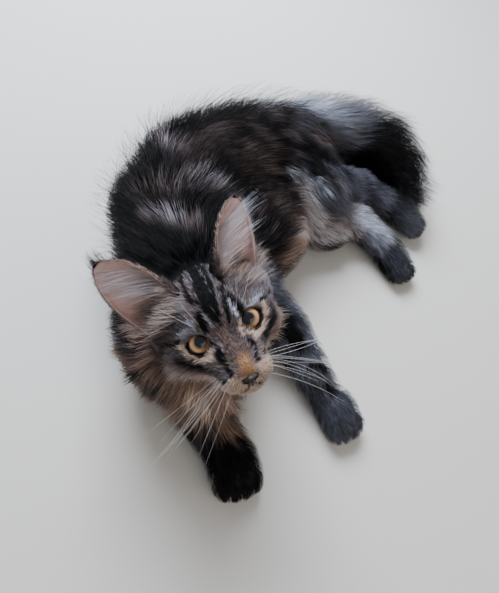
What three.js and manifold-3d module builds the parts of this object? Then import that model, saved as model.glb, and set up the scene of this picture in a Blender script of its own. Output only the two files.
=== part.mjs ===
// A maine coon kitten lying on its chest with its hips rolled to one side, life size.
// Millimetres, +Z up, the floor at z = 0. The origin is on the floor under the middle of the cat.
// Left and right are the cat's own.
import * as THREE from 'three';
import { mergeVertices } from 'three/addons/utils/BufferGeometryUtils.js';
import Module from 'manifold-3d';

const wasm = await Module();
wasm.setup();

// Clearances and the build of the coat
const GAP = 0.35; // kept where two pieces meet
const CORE_SHARE = 0.45; // the solid core fills this share of the coat's depth
const FLOOR_BLOCK = 1400;
const SEED = 20;

// The head, in its own frame: x to the cat's left, y to the crown, z out along the nose
const EYE_MIDPOINT = [-5.5, 130.6, 148.7];
const HEAD_HEADING = -57.3; // degrees round from +X that the nose points
const HEAD_LIFT = 45.8; // degrees that the face is turned up
const HEAD_ROLL = 21.3; // degrees that the head leans over
const EYE_SPACING = 36;
const EYE_SHIFT = [0.4, -2]; // both balls stand this far to the left of and below the frame's middle
const EYE_RADIUS = 10.8;
const EYE_DEPTH = -9; // the ball's centre behind the front of the eyes
const EYE_TURN = 9; // degrees that each eye looks out to its side
const EYE_TIP = -12; // degrees that each eye looks up
const EYE_SLANT = 14; // degrees that each opening slants up to its outer corner
const EYE_OPENING = [9.2, 8]; // half width and half height between the lids
const LID_THICKNESS = 1.5;
const NOSE_PAD = { centre: [0, -20.8, 27.6], size: [6.2, 3.9, 4.2] };
const NOSTRIL = { centre: [3.3, -22.2, 31], size: [1.7, 1.2, 2.6] };
const EARS = {
  '-1': { root: [-34.5, 32, -32], tip: [-54.5, 70, -36], facing: [-0.32, 0.05, 1] }, // the cat's right
  1: { root: [26.5, 33.5, -33], tip: [45, 74, -38], facing: [0.68, 0, 1] }, // the cat's left, turned aside
};
const EAR_LENGTH = 41;
const EAR_HALF_WIDTH = 18.5;
const EAR_ROUNDING = [3.4, 0.75]; // a blunt tip: the width holds, then closes
const EAR_DEPTH = 13;
const EAR_WALL = 2.2;
const EAR_WALL_AT_TIP = 0.9;
const EAR_RIM = 0.6; // half the width that is left at the very tip
const EAR_SINK = 12; // the root of the shell lies this far inside the head
const EAR_WRAP = [90, 30]; // degrees each side of its back that the shell wraps, and more at its root

// Each length of the body is a row of round stations: x, y, z, flesh radius, depth of coat
const TORSO_STATIONS = [
  [-22, 174, 60, 38, 14],
  [-58, 210, 66, 44, 13],
  [-93, 262, 62, 46, 13],
  [-95, 318, 58, 45, 13],
  [-71, 363, 55, 41, 13],
  [-42, 394, 52, 37, 13],
  [-14, 412, 46, 31, 13],
];
const BELLY = { centre: [-26, 300, 38], size: [46, 66, 36], coat: 14 };
const TORSO_AXIS_PULL = 0.36; // how far the middle of the wrapping axis moves toward the belly
const NECK_STATIONS = [
  [-50, 195, 84, 34, 16],
  [-34, 168, 98, 30, 16],
];
const FORELEG_LEFT_STATIONS = [
  [-20, 224, 56, 26, 12],
  [4, 238, 32, 18, 10],
  [44, 216, 28, 14, 9],
  [88, 182, 20, 13, 8],
];
const FORELEG_RIGHT_STATIONS = [
  [-46, 200, 48, 26, 12],
  [-36, 156, 28, 17, 11],
  [4, 112, 22, 14, 9],
  [28, 96, 18, 13, 8],
];
const THIGH_LEFT_STATIONS = [
  [-22, 398, 62, 32, 13],
  [20, 366, 58, 24, 12],
];
const SHIN_LEFT_STATIONS = [
  [20, 366, 58, 20, 12],
  [66, 420, 32, 13, 10],
];
const FOOT_LEFT_STATIONS = [
  [66, 420, 30, 12, 9],
  [120, 422, 24, 12, 8],
];
const THIGH_RIGHT_STATIONS = [
  [0, 390, 34, 28, 12],
  [45, 354, 24, 20, 11],
];
const SHIN_RIGHT_STATIONS = [
  [45, 354, 24, 18, 10],
  [70, 382, 24, 13, 9],
];
const FOOT_RIGHT_STATIONS = [
  [70, 382, 24, 13, 9],
  [120, 364, 20, 12, 8],
];
const TAIL_STATIONS = [
  [-27, 453, 50, 14, 22],
  [8, 487, 42, 11, 27],
  [47, 501, 38, 10, 31],
  [84, 490, 36, 9, 31],
  [105, 467, 32, 8, 29],
  [112, 442, 27, 5, 23],
];
const TAIL_SPANS = { tail_base: [0, 3], tail_middle: [2, 4], tail_tip: [3, 6] };

// Paws: centre, heading in degrees from +X, half length, half width, half height
const PAWS = {
  foreleg_left: { centre: [115, 164, 14], heading: -40, size: [22, 17, 13] },
  foreleg_right: { centre: [44, 83, 14], heading: -52, size: [20, 18, 13] },
  hindleg_left: { centre: [135, 417, 18], heading: -18, size: [18, 14, 12] },
  hindleg_right: { centre: [135, 354, 14], heading: -38, size: [19, 15, 12] },
};
const PAW_COAT = 6;

// The coat's locks: how many rows and columns, and each lock's length, width and rise above the core
const LOCK_THICKNESS = 2.2;
const LOCK_STEPS = 3;
const LOCK_SINK = 5;
const LOCK_CLEARANCE = 0.6; // kept from another node
const FLOOR_CLEARANCE = 1.6;
const COATS = {
  torso: {
    rows: 8, columns: 8, span: [0.04, 1.3],
    length: [42, 54], width: [15, 19], rise: [8, 12], fall: 0.3,
  },
  neck: {
    rows: 6, columns: 9, span: [0, 1.8],
    length: [30, 44], width: [12, 16], rise: [8, 11], fall: 0.6,
  },
  foreleg: {
    rows: 3, columns: 4, span: [0.1, 0.72],
    length: [18, 26], width: [8, 10], rise: [3, 6], fall: 0.2,
  },
  thigh: {
    rows: 3, columns: 4, span: [0.15, 1.6],
    length: [26, 36], width: [10, 13], rise: [5, 9], fall: 0.3,
  },
  foot: {
    rows: 2, columns: 4, span: [0.1, 0.7],
    length: [16, 24], width: [8, 10], rise: [3, 6], fall: 0.2,
  },
  tail: {
    rows: 3, columns: 7, span: [0.1, 1.3],
    length: [40, 56], width: [11, 14], rise: [14, 19], fall: 0.1,
  },
  cheek: {
    rows: 3, columns: 8, span: [0.05, 0.6],
    length: [15, 22], width: [7, 9], rise: [3, 5], fall: 0.3,
  },
  paw: { length: [10, 13], width: [4, 6], rise: [2, 3.5], fall: 0.1 },
  earHair: { count: 4, length: [22, 30], width: [3.5, 5], thickness: 1.1 },
  earTip: { count: 3, length: [13, 18], width: [3, 4], thickness: 1 },
};

const COLOURS = {
  charcoal: 0x2b2826,
  grey: 0x6d675f,
  buff: 0x8c7d6a,
  tail: 0x3c3a3b,
  ear: 0xc9a08c,
  amber: 0xb8863c,
};

const radians = THREE.MathUtils.degToRad;
const at = (x, y, z) => new THREE.Vector3(x, y, z);

function headFrame() {
  const heading = radians(HEAD_HEADING);
  const lift = radians(HEAD_LIFT);
  const nose = at(Math.cos(lift) * Math.cos(heading), Math.cos(lift) * Math.sin(heading), Math.sin(lift));
  const left = at(0, 0, 1).cross(nose).normalize();
  const crown = nose.clone().cross(left);
  const frame = new THREE.Matrix4().makeBasis(left, crown, nose);
  frame.multiply(new THREE.Matrix4().makeRotationZ(radians(HEAD_ROLL)));
  return frame.setPosition(...EYE_MIDPOINT);
}
const HEAD_FRAME = headFrame();
const onHead = (x, y, z) => at(x, y, z).applyMatrix4(HEAD_FRAME);
const headDirection = (x, y, z) => at(x, y, z).transformDirection(HEAD_FRAME);

// A seeded draw between two values
let seed = SEED;
function draw(low = 0, high = 1) {
  seed = (seed + 0x6d2b79f5) | 0;
  let t = Math.imul(seed ^ (seed >>> 15), 1 | seed);
  t = (t + Math.imul(t ^ (t >>> 7), 61 | t)) ^ t;
  return low + (high - low) * (((t ^ (t >>> 14)) >>> 0) / 4294967296);
}

// A form knows how far a point lies from its surface; share says how much of the coat it wears
function taper(from, to, blend) {
  const start = at(...from);
  const along = at(...to).sub(start);
  const lengthSquared = along.lengthSq();
  return {
    blend,
    distance(point, share) {
      const offset = point.clone().sub(start);
      const t = THREE.MathUtils.clamp(offset.dot(along) / lengthSquared, 0, 1);
      const radius = THREE.MathUtils.lerp(from[3] + share * from[4], to[3] + share * to[4], t);
      return offset.addScaledVector(along, -t).length() - radius;
    },
  };
}

function limb(stations, blend) {
  return stations.slice(1).map((station, i) => taper(stations[i], station, blend));
}

function ball(centre, radii, coat, blend, frame = new THREE.Matrix4()) {
  const toBall = frame.clone().setPosition(centre).invert();
  return {
    blend,
    distance(point, share) {
      const grown = at(...radii).addScalar(share * coat);
      const scaled = point.clone().applyMatrix4(toBall).divide(grown);
      const level = scaled.length();
      return (level * (level - 1)) / Math.max(scaled.divide(grown).length(), 1e-9);
    },
  };
}

const headBall = (centre, radii, coat, blend = 7) => ball(onHead(...centre), radii, coat, blend, HEAD_FRAME);

function headTaper(from, to, blend) {
  const [start, end] = [from, to].map(([x, y, z, radius, coat]) => [...onHead(x, y, z), radius, coat]);
  return taper(start, end, blend);
}

function pawForm({ centre, heading, size }) {
  return ball(at(...centre), size, PAW_COAT, 8, new THREE.Matrix4().makeRotationZ(radians(heading)));
}

function distance(forms, point, share) {
  let nearest = Infinity;
  for (const form of forms) {
    const here = form.distance(point, share);
    const near = Math.max(form.blend - Math.abs(nearest - here), 0) / form.blend;
    nearest = Math.min(nearest, here) - (Number.isFinite(near) ? near * near * form.blend * 0.25 : 0);
  }
  return nearest;
}

function outward(forms, point, share) {
  const step = 0.5;
  const slope = ['x', 'y', 'z'].map((axis) => {
    const ahead = point.clone();
    const behind = point.clone();
    ahead[axis] += step;
    behind[axis] -= step;
    return distance(forms, ahead, share) - distance(forms, behind, share);
  });
  return at(...slope).normalize();
}

// The forms of each node
function headForms() {
  const forms = [
    headBall([0, 5, -38], [31, 28, 36], 4),
    headBall([0, 13, -16], [26, 18, 18], 3),
    headTaper([0, 2, -4, 8, 2], [0, -15, 18, 7, 2], 9),
    headBall([0, -30, 12], [9, 7, 11], 3),
    headTaper([0, -28, 4, 11, 5], [0, -22, -25, 20, 5], 12),
    headBall([0, -18, 24], [7, 5.2, 5.4], 1, 4),
  ];
  for (const side of [-1, 1]) {
    forms.push(headBall([side * 24, -9, -22], [15, 16, 20], 5, 10));
    forms.push(headBall([side * 18, 0, -12], [13, 12, 12], 1, 9));
    forms.push(headBall([side * 13, -14, -1], [9, 9, 13], 2, 10));
    forms.push(headBall([side * 8, -24, 16], [9.5, 7.5, 10.5], 2.5, 6));
    forms.push(headBall([side * 32, 7, -36], [13, 17, 14], 4, 12));
  }
  return forms;
}

const TORSO_AXIS = TORSO_STATIONS.map(([x, y, z], i) => {
  const pull = TORSO_AXIS_PULL * Math.sin((i / (TORSO_STATIONS.length - 1)) * Math.PI);
  return at(x, y, z).lerp(at(...BELLY.centre), pull).toArray();
});
const NECK_AXIS = [[-50, 190, 82], [-32, 150, 70]];

const FORMS = {
  torso: [...limb(TORSO_STATIONS, 20), ball(at(...BELLY.centre), BELLY.size, BELLY.coat, 24)],
  head: headForms(),
  foreleg_left: [...limb(FORELEG_LEFT_STATIONS, 12), pawForm(PAWS.foreleg_left)],
  foreleg_right: [...limb(FORELEG_RIGHT_STATIONS, 12), pawForm(PAWS.foreleg_right)],
  neck: [
    ...limb(NECK_STATIONS, 18),
    ball(at(-26, 142, 66), [38, 34, 44], 18, 20),
    ball(at(-50, 150, 66), [30, 26, 36], 18, 20),
  ],
  hindleg_left: [
    ...limb(THIGH_LEFT_STATIONS, 14),
    ...limb(SHIN_LEFT_STATIONS, 12),
    ...limb(FOOT_LEFT_STATIONS, 10),
    pawForm(PAWS.hindleg_left),
  ],
  hindleg_right: [
    ...limb(THIGH_RIGHT_STATIONS, 14),
    ...limb(SHIN_RIGHT_STATIONS, 10),
    ...limb(FOOT_RIGHT_STATIONS, 10),
    pawForm(PAWS.hindleg_right),
  ],
};
for (const [name, span] of Object.entries(TAIL_SPANS)) FORMS[name] = limb(TAIL_STATIONS.slice(...span), 10);

// Rows of points become a closed skin, each row a ring and a single point at either end
function closedSkin(first, rings, last) {
  const sides = rings[0].length;
  const points = [first, ...rings.flat(), last];
  const faces = [];
  const index = (ring, side) => 1 + ring * sides + (side % sides);
  for (let side = 0; side < sides; side += 1) {
    faces.push(0, index(0, side + 1), index(0, side));
    faces.push(points.length - 1, index(rings.length - 1, side), index(rings.length - 1, side + 1));
    for (let ring = 0; ring < rings.length - 1; ring += 1) {
      const [a, b] = [index(ring, side), index(ring, side + 1)];
      const [c, d] = [index(ring + 1, side), index(ring + 1, side + 1)];
      faces.push(a, b, d, a, d, c);
    }
  }
  const geometry = new THREE.BufferGeometry().setFromPoints(points);
  return geometry.setIndex(faces);
}

// A ray from inside the forms stops where it meets the coat
function castOut(origin, direction, forms, share, swell) {
  const point = origin.clone();
  for (let step = 0; step < 60; step += 1) {
    const miss = swell - distance(forms, point, share);
    point.addScaledVector(direction, 0.9 * miss);
    if (Math.abs(miss) < 0.01) break;
  }
  return point;
}

function rayRound(axis, along, tilt, turn, up) {
  const tangent = axis.getTangent(along);
  const across = up.clone().cross(tangent).normalize();
  const over = tangent.clone().cross(across);
  const direction = across.multiplyScalar(Math.cos(turn)).addScaledVector(over, Math.sin(turn));
  direction.multiplyScalar(Math.cos(radians(tilt))).addScaledVector(tangent, Math.sin(radians(tilt)));
  return { origin: axis.getPoint(along), direction, tangent };
}

// Rays leave an axis all round and stop at the coat, with a fan of rays over each end
function wrap(axisPoints, forms, shape, swell = 0) {
  const { rings, sides, caps = 3, share = CORE_SHARE, up = at(0, 0, 1) } = shape;
  const axis = new THREE.CatmullRomCurve3(axisPoints.map((point) => at(...point)));
  const stops = [];
  for (let cap = 1; cap <= caps; cap += 1) stops.push({ along: 0, tilt: (cap / (caps + 1) - 1) * 90 });
  for (let ring = 0; ring <= rings; ring += 1) stops.push({ along: ring / rings, tilt: 0 });
  for (let cap = 1; cap <= caps; cap += 1) stops.push({ along: 1, tilt: (cap / (caps + 1)) * 90 });
  const cast = (along, tilt, turn) => {
    const { origin, direction } = rayRound(axis, along, tilt, turn, up);
    return castOut(origin, direction, forms, share, swell);
  };
  const turns = Array.from({ length: sides }, (_, side) => (side / sides) * 2 * Math.PI);
  const rows = stops.map(({ along, tilt }) => turns.map((turn) => cast(along, tilt, turn)));
  return closedSkin(cast(0, -90, 0), rows, cast(1, 90, 0));
}

// Solids: joins and cuts
function solidOf(geometry) {
  const bare = geometry.clone();
  for (const name of Object.keys(bare.attributes)) if (name !== 'position') bare.deleteAttribute(name);
  const merged = mergeVertices(bare, 1e-4);
  const mesh = new wasm.Mesh({
    numProp: 3,
    vertProperties: Float32Array.from(merged.attributes.position.array),
    triVerts: Uint32Array.from(merged.index.array),
  });
  return new wasm.Manifold(mesh);
}

function geometryOf(solid) {
  const mesh = solid.getMesh();
  const geometry = new THREE.BufferGeometry();
  geometry.setAttribute('position', new THREE.BufferAttribute(mesh.vertProperties, 3));
  geometry.setIndex(new THREE.BufferAttribute(mesh.triVerts, 1));
  return geometry;
}

const join = (solids) => wasm.Manifold.union(solids);

function largest(solid) {
  return solid.decompose().reduce((best, piece) => (piece.volume() > best.volume() ? piece : best));
}

const floorBlock = new THREE.BoxGeometry(FLOOR_BLOCK, FLOOR_BLOCK, FLOOR_BLOCK);
floorBlock.translate(0, 0, -FLOOR_BLOCK / 2);
const belowFloor = solidOf(floorBlock);

function ellipsoid(centre, radii, frame = new THREE.Matrix4(), sides = 8) {
  const geometry = new THREE.SphereGeometry(1, sides, sides * 0.75);
  geometry.scale(...radii);
  return geometry.applyMatrix4(frame.clone().setPosition(centre));
}

// A thin blade with a diamond section: it follows its path and tapers to a point
function blade(path, widths, thicknesses, sideways) {
  const rings = path.slice(0, -1).map((point, i) => {
    const ahead = path[i + 1].clone().sub(path[Math.max(i - 1, 0)]).normalize();
    const across = sideways[i].clone().addScaledVector(ahead, -sideways[i].dot(ahead)).normalize();
    const over = ahead.clone().cross(across);
    return [
      point.clone().addScaledVector(across, widths[i] / 2),
      point.clone().addScaledVector(over, thicknesses[i] / 2),
      point.clone().addScaledVector(across, -widths[i] / 2),
      point.clone().addScaledVector(over, -thicknesses[i] / 2),
    ];
  });
  const tip = path[path.length - 1];
  const points = [...rings.flat(), tip];
  const faces = [0, 2, 1, 0, 3, 2];
  for (let ring = 0; ring < rings.length - 1; ring += 1) {
    const here = 4 * ring;
    const next = here + 4;
    for (const [edge, ridge] of [[0, 1], [2, 3]]) {
      const before = (edge + 3) % 4;
      faces.push(here + edge, here + ridge, next + ridge, here + edge, next + ridge, next + edge);
      faces.push(here + before, here + edge, next + before, here + edge, next + edge, next + before);
    }
  }
  const end = points.length - 1;
  for (let side = 0; side < 4; side += 1) faces.push(end - 4 + side, end - 4 + ((side + 1) % 4), end);
  return new THREE.BufferGeometry().setFromPoints(points).setIndex(faces);
}

// Toes stand in an arc at the front of a paw
function toes({ centre, heading, size: [long, wide, high] }) {
  const frame = new THREE.Matrix4().makeRotationZ(radians(heading));
  return [-1.5, -0.5, 0.5, 1.5].map((place) => {
    const reach = long * (0.86 - 0.12 * Math.abs(place));
    const spot = at(reach, place * wide * 0.5, 1 - high * 0.3).applyMatrix4(frame).add(at(...centre));
    return ellipsoid(spot, [long * 0.45, wide * 0.32, high * 0.62], frame, 6);
  });
}

// Head details
function eyeFrame(side) {
  const centre = onHead((side * EYE_SPACING) / 2 + EYE_SHIFT[0], EYE_SHIFT[1], EYE_DEPTH);
  const frame = HEAD_FRAME.clone();
  frame.multiply(new THREE.Matrix4().makeRotationY(radians(side * EYE_TURN)));
  frame.multiply(new THREE.Matrix4().makeRotationX(radians(EYE_TIP)));
  frame.multiply(new THREE.Matrix4().makeRotationZ(radians(side * EYE_SLANT)));
  return frame.setPosition(centre);
}

function eyeball(side, radius) {
  return new THREE.SphereGeometry(radius, 14, 9).applyMatrix4(eyeFrame(side));
}

function lidOpening(side) {
  const [halfWidth, halfHeight] = EYE_OPENING;
  const outline = new THREE.Shape();
  outline.moveTo(-halfWidth, 0);
  outline.quadraticCurveTo(0, 2 * halfHeight, halfWidth, 0);
  outline.quadraticCurveTo(0, -1.9 * halfHeight, -halfWidth, 0);
  const cut = { depth: 3 * EYE_RADIUS, bevelEnabled: false, curveSegments: 7 };
  return new THREE.ExtrudeGeometry(outline, cut).applyMatrix4(eyeFrame(side));
}

function lineOnHead(points, forms, lift) {
  const middle = onHead(0, -14, -6);
  return points.map((point) => {
    const direction = onHead(...point).sub(middle).normalize();
    const spot = middle.clone();
    for (let step = 0; step < 60; step += 1) spot.addScaledVector(direction, -0.9 * distance(forms, spot, 1));
    return spot.addScaledVector(direction, lift);
  });
}

function mouthBlades(width, thickness, drop, lift) {
  return [-1, 1].map((side) => {
    const line = [[-1, -27], [2.5, -33], [8, -35], [13, -34], [18, -30.5]];
    const depths = [32, 29, 25, 20, 12];
    const path = lineOnHead(line.map(([x, y], i) => [side * x, y - drop, depths[i]]), FORMS.head, lift);
    const inward = path.map((point) => point.clone().sub(onHead(0, -14, -6)));
    const size = (value) => path.map(() => value);
    return blade(path, size(width), size(thickness), inward);
  });
}

function makeHead(swell) {
  const axis = [onHead(0, -2, -44), onHead(0, -5, -24), onHead(0, -12, -4), onHead(0, -20, 12)];
  const shape = { rings: 13, sides: 24, caps: 4, share: 1, up: headDirection(0, 1, 0) };
  const skull = solidOf(wrap(axis, FORMS.head, shape, swell));
  if (swell) return skull;
  const added = [skull];
  const cuts = [];
  added.push(solidOf(ellipsoid(onHead(...NOSE_PAD.centre), NOSE_PAD.size, HEAD_FRAME)));
  for (const side of [-1, 1]) {
    added.push(solidOf(eyeball(side, EYE_RADIUS + LID_THICKNESS)));
    cuts.push(solidOf(eyeball(side, EYE_RADIUS + GAP)), solidOf(lidOpening(side)));
    const nostril = onHead(side * NOSTRIL.centre[0], NOSTRIL.centre[1], NOSTRIL.centre[2]);
    cuts.push(solidOf(ellipsoid(nostril, NOSTRIL.size, HEAD_FRAME, 6)));
  }
  for (const lips of mouthBlades(3.4, 3.2, 2.2, -0.3)) added.push(solidOf(lips));
  for (const groove of mouthBlades(3.2, 1.3, 0, 0)) cuts.push(solidOf(groove));
  return join(added).subtract(join(cuts));
}

// An ear is a cupped wall that wraps forward at its root and opens out to its tip
function earFrame(side) {
  const ear = EARS[side];
  const root = onHead(...ear.root);
  const along = onHead(...ear.tip).sub(root).normalize();
  const facing = headDirection(...ear.facing);
  facing.addScaledVector(along, -facing.dot(along)).normalize();
  const frame = new THREE.Matrix4().makeBasis(along.clone().cross(facing), along, facing);
  return frame.setPosition(root);
}

function earPoint(side, along, turn, inset) {
  const fullness = (1 - along ** EAR_ROUNDING[0]) ** EAR_ROUNDING[1];
  const width = EAR_HALF_WIDTH * fullness + EAR_RIM - inset;
  const depth = EAR_DEPTH * (1 - along) ** 0.8 + EAR_RIM - inset;
  const spread = radians(EAR_WRAP[0] + EAR_WRAP[1] * (1 - along) ** 2);
  const x = width * Math.sin(turn * spread);
  const z = -depth * Math.cos(turn * spread);
  const y = along * EAR_LENGTH - (1 - along) * EAR_SINK;
  return at(x, y, z + 5).applyMatrix4(earFrame(side));
}

function earShell(side) {
  const steps = 6;
  const arc = 6;
  const rings = [];
  for (let step = 0; step <= steps; step += 1) {
    const along = 0.985 * (1 - (1 - step / steps) ** 1.3);
    const wall = THREE.MathUtils.lerp(EAR_WALL, EAR_WALL_AT_TIP, along);
    const turns = Array.from({ length: arc + 1 }, (_, i) => (2 * i) / arc - 1);
    const outer = turns.map((turn) => earPoint(side, along, turn, 0));
    const inner = turns.map((turn) => earPoint(side, along, -0.94 * turn, wall));
    rings.push([...outer, ...inner]);
  }
  const sides = rings[0].length;
  const points = rings.flat();
  const faces = [];
  for (let step = 0; step < steps; step += 1) {
    for (let i = 0; i < sides; i += 1) {
      const [a, b] = [step * sides + i, step * sides + ((i + 1) % sides)];
      faces.push(a, a + sides, b + sides, a, b + sides, b);
    }
  }
  const last = steps * sides;
  for (let i = 0; i < arc; i += 1) {
    const [a, b, c, d] = [i, i + 1, sides - 2 - i, sides - 1 - i];
    faces.push(a, b, c, a, c, d);
    faces.push(last + a, last + c, last + b, last + a, last + d, last + c);
  }
  return new THREE.BufferGeometry().setFromPoints(points).setIndex(faces);
}

// Locks: each one leaves the core, bends along the lie of the coat and ends in a point
const lockSamples = [];

function clearOfOthers(name, path, halfWidth) {
  const samples = [];
  for (let i = 1; i < path.length; i += 1) {
    for (const part of [0.5, 1]) samples.push(path[i - 1].clone().lerp(path[i], part));
  }
  for (const [other, forms] of Object.entries(FORMS)) {
    if (other === name) continue;
    const share = other === 'head' ? 1 : CORE_SHARE;
    const room = LOCK_CLEARANCE + 0.5 * halfWidth;
    if (samples.some((sample) => distance(forms, sample, share) < room)) return null;
  }
  const reach = halfWidth + LOCK_CLEARANCE;
  const others = lockSamples.filter((taken) => taken.name !== name);
  const near = (sample) => others.some(({ point, radius }) => point.distanceTo(sample) < radius + reach);
  return samples.some(near) ? null : samples;
}

function lockPath(forms, share, root, flow, length, rise, sink, fall) {
  const heading = flow.clone();
  const spot = root.clone();
  let normal = outward(forms, spot, share);
  const path = [root.clone().addScaledVector(normal, -sink)];
  const sideways = [];
  for (let step = 1; step <= LOCK_STEPS; step += 1) {
    heading.z -= fall / LOCK_STEPS;
    heading.addScaledVector(normal, -heading.dot(normal)).normalize();
    sideways.push(heading.clone().cross(normal));
    spot.addScaledVector(heading, length / LOCK_STEPS);
    normal = outward(forms, spot, share);
    const height = rise * Math.sin((step / LOCK_STEPS) * 0.5 * Math.PI);
    spot.addScaledVector(normal, height - distance(forms, spot, share));
    spot.z = Math.max(spot.z, FLOOR_CLEARANCE);
    path.push(spot.clone());
  }
  return { path, sideways };
}

function growLock(name, root, flow, coat, sink = LOCK_SINK) {
  const share = name === 'head' ? 1 : CORE_SHARE;
  const width = draw(...coat.width);
  const length = draw(...coat.length);
  const rise = draw(...coat.rise);
  for (const trim of [1, 0.75, 0.55]) {
    const reach = length * trim;
    const { path, sideways } = lockPath(FORMS[name], share, root, flow, reach, rise * trim, sink, coat.fall);
    const samples = clearOfOthers(name, path.slice(1), width * 0.4);
    if (samples) {
      for (const point of samples) lockSamples.push({ name, point, radius: width * 0.4 });
      const build = (swell) => {
        const wide = [0.75, 1, 0.7].map((part) => part * width + 2 * swell);
        const thick = [1, 1, 0.6].map((part) => part * LOCK_THICKNESS + 2 * swell);
        return solidOf(blade(path, wide, thick, sideways));
      };
      return { lock: build(0), clearance: build(GAP) };
    }
  }
  return null;
}

// Rows of locks round an axis, each root found by a ray; lie turns the axis's direction into the coat's
function growCoat(name, axisPoints, rayForms, coat, lie, options = {}) {
  const { share = CORE_SHARE, up = at(0, 0, 1), accept = () => true } = options;
  const axis = new THREE.CatmullRomCurve3(axisPoints.map((point) => at(...point)));
  const locks = [];
  for (let row = 0; row < coat.rows; row += 1) {
    for (let column = 0; column < coat.columns; column += 1) {
      const along = THREE.MathUtils.lerp(...coat.span, (row + draw(0.2, 0.8)) / coat.rows);
      const turn = ((column + (row % 2) / 2 + draw(-0.2, 0.2)) / coat.columns) * 2 * Math.PI;
      const tilt = 90 * Math.max(along - 1, 0);
      const { origin, direction, tangent } = rayRound(axis, Math.min(along, 1), tilt, turn, up);
      const root = castOut(origin, direction, rayForms, share, 0);
      const deep = distance(FORMS[name], root, share) < -1;
      if (deep || root.z < 2 * FLOOR_CLEARANCE || !accept(root)) continue;
      const flow = lie(root, tangent).normalize();
      flow.applyAxisAngle(direction, draw(-0.25, 0.25));
      const grown = growLock(name, root, flow, coat);
      if (grown) locks.push(grown);
    }
  }
  return locks;
}

// Long hair leaves the inner edge of each ear across the cup, and a tuft stands on the tip
function earHair(side) {
  const frame = earFrame(side).setPosition(0, 0, 0);
  const hair = (root, direction, { length, width, thickness }) => {
    const reach = draw(...length);
    const wide = draw(...width);
    const bend = at(0, 0, draw(-0.1, 0.15));
    const path = [0, 0.35, 0.7, 1].map((part) => {
      const lean = direction.clone().addScaledVector(bend, part).normalize();
      return root.clone().addScaledVector(lean.applyMatrix4(frame), reach * part);
    });
    const across = at(-direction.y, direction.x, 0).applyMatrix4(frame);
    const size = (value) => [0.8, 1, 0.7].map((part) => part * value);
    return solidOf(blade(path, size(wide), size(thickness), [across, across, across]));
  };
  const locks = [];
  for (let i = 0; i < COATS.earHair.count; i += 1) {
    const along = 0.14 + (0.4 * i) / COATS.earHair.count;
    const root = earPoint(side, along, -side * 0.8, EAR_WALL / 2);
    const direction = at(side * draw(0.55, 0.8), draw(0.55, 0.8), draw(0.45, 0.6)).normalize();
    locks.push(hair(root, direction, COATS.earHair));
  }
  for (let i = 0; i < COATS.earTip.count; i += 1) {
    const root = earPoint(side, 0.9, (i - 1) * 0.5, 0.5);
    locks.push(hair(root, at(side * 0.25 + (i - 1) * 0.22, 1, 0.05).normalize(), COATS.earTip));
  }
  return locks;
}

// Tufts stand out between the toes
function pawTufts(name) {
  const { centre, heading } = PAWS[name];
  const forms = [pawForm(PAWS[name])];
  return [-32, 0, 32].map((turn) => {
    const forward = at(Math.cos(radians(heading + turn)), Math.sin(radians(heading + turn)), 0);
    const root = castOut(at(...centre), forward.clone().setZ(-0.1).normalize(), forms, CORE_SHARE, 0);
    return growLock(name, root, forward.setZ(0.25).normalize(), COATS.paw);
  }).filter(Boolean);
}

// Each node: its plain lengths, and a larger copy of them that clears its neighbours
const middles = (stations) => stations.map(([x, y, z]) => [x, y, z]);
const pawEnd = ({ centre: [x, y, z], heading, size: [long] }) => [
  x + 0.3 * long * Math.cos(radians(heading)),
  y + 0.3 * long * Math.sin(radians(heading)),
  z,
];

function lengthsOf(name, swell) {
  const forms = FORMS[name];
  const paw = PAWS[name];
  if (name === 'torso') {
    return [wrap(TORSO_AXIS, forms, { rings: 14, sides: 16, caps: 3 }, swell)];
  }
  if (name === 'neck') return [wrap(NECK_AXIS, forms, { rings: 4, sides: 16, caps: 4 }, swell)];
  if (name.startsWith('foreleg')) {
    const stations = name.endsWith('left') ? FORELEG_LEFT_STATIONS : FORELEG_RIGHT_STATIONS;
    const forearm = [...middles(stations.slice(1)), pawEnd(paw)];
    return [
      wrap(middles(stations.slice(0, 2)), forms.slice(0, 1), { rings: 2, sides: 10, caps: 2 }, swell),
      wrap(forearm, forms.slice(1), { rings: 7, sides: 10, caps: 2 }, swell),
    ];
  }
  if (name.startsWith('hindleg')) {
    const left = name.endsWith('left');
    const thigh = left ? THIGH_LEFT_STATIONS : THIGH_RIGHT_STATIONS;
    const shin = left ? SHIN_LEFT_STATIONS : SHIN_RIGHT_STATIONS;
    const foot = left ? FOOT_LEFT_STATIONS : FOOT_RIGHT_STATIONS;
    return [
      wrap(middles(thigh), forms.slice(0, 1), { rings: 2, sides: 12, caps: 2 }, swell),
      wrap(middles(shin), forms.slice(1, 2), { rings: 2, sides: 10, caps: 2 }, swell),
      wrap([...middles(foot), pawEnd(paw)], forms.slice(2), { rings: 4, sides: 10, caps: 2 }, swell),
    ];
  }
  const length = middles(TAIL_STATIONS.slice(...TAIL_SPANS[name]));
  return [wrap(length, forms, { rings: 4, sides: 10, caps: 2 }, swell)];
}

const group = new THREE.Group();
const cleared = [];

function addNode(name, colour, solid, clearance) {
  let body = solid.subtract(belowFloor);
  for (const neighbour of cleared) body = body.subtract(neighbour);
  if (clearance) cleared.push(clearance);
  const material = new THREE.MeshStandardMaterial({ color: colour, roughness: 0.9, metalness: 0 });
  const mesh = new THREE.Mesh(geometryOf(largest(body)), material);
  mesh.name = name;
  group.add(mesh);
}

function addFleshNode(name, colour, locks) {
  const forms = lengthsOf(name, 0).map(solidOf);
  if (PAWS[name]) forms.push(...toes(PAWS[name]).map(solidOf));
  const clearances = lengthsOf(name, GAP).map(solidOf);
  const joined = join([...forms, ...locks.map(({ lock }) => lock)]);
  addNode(name, colour, joined, join([...clearances, ...locks.map(({ clearance }) => clearance)]));
}

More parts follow.
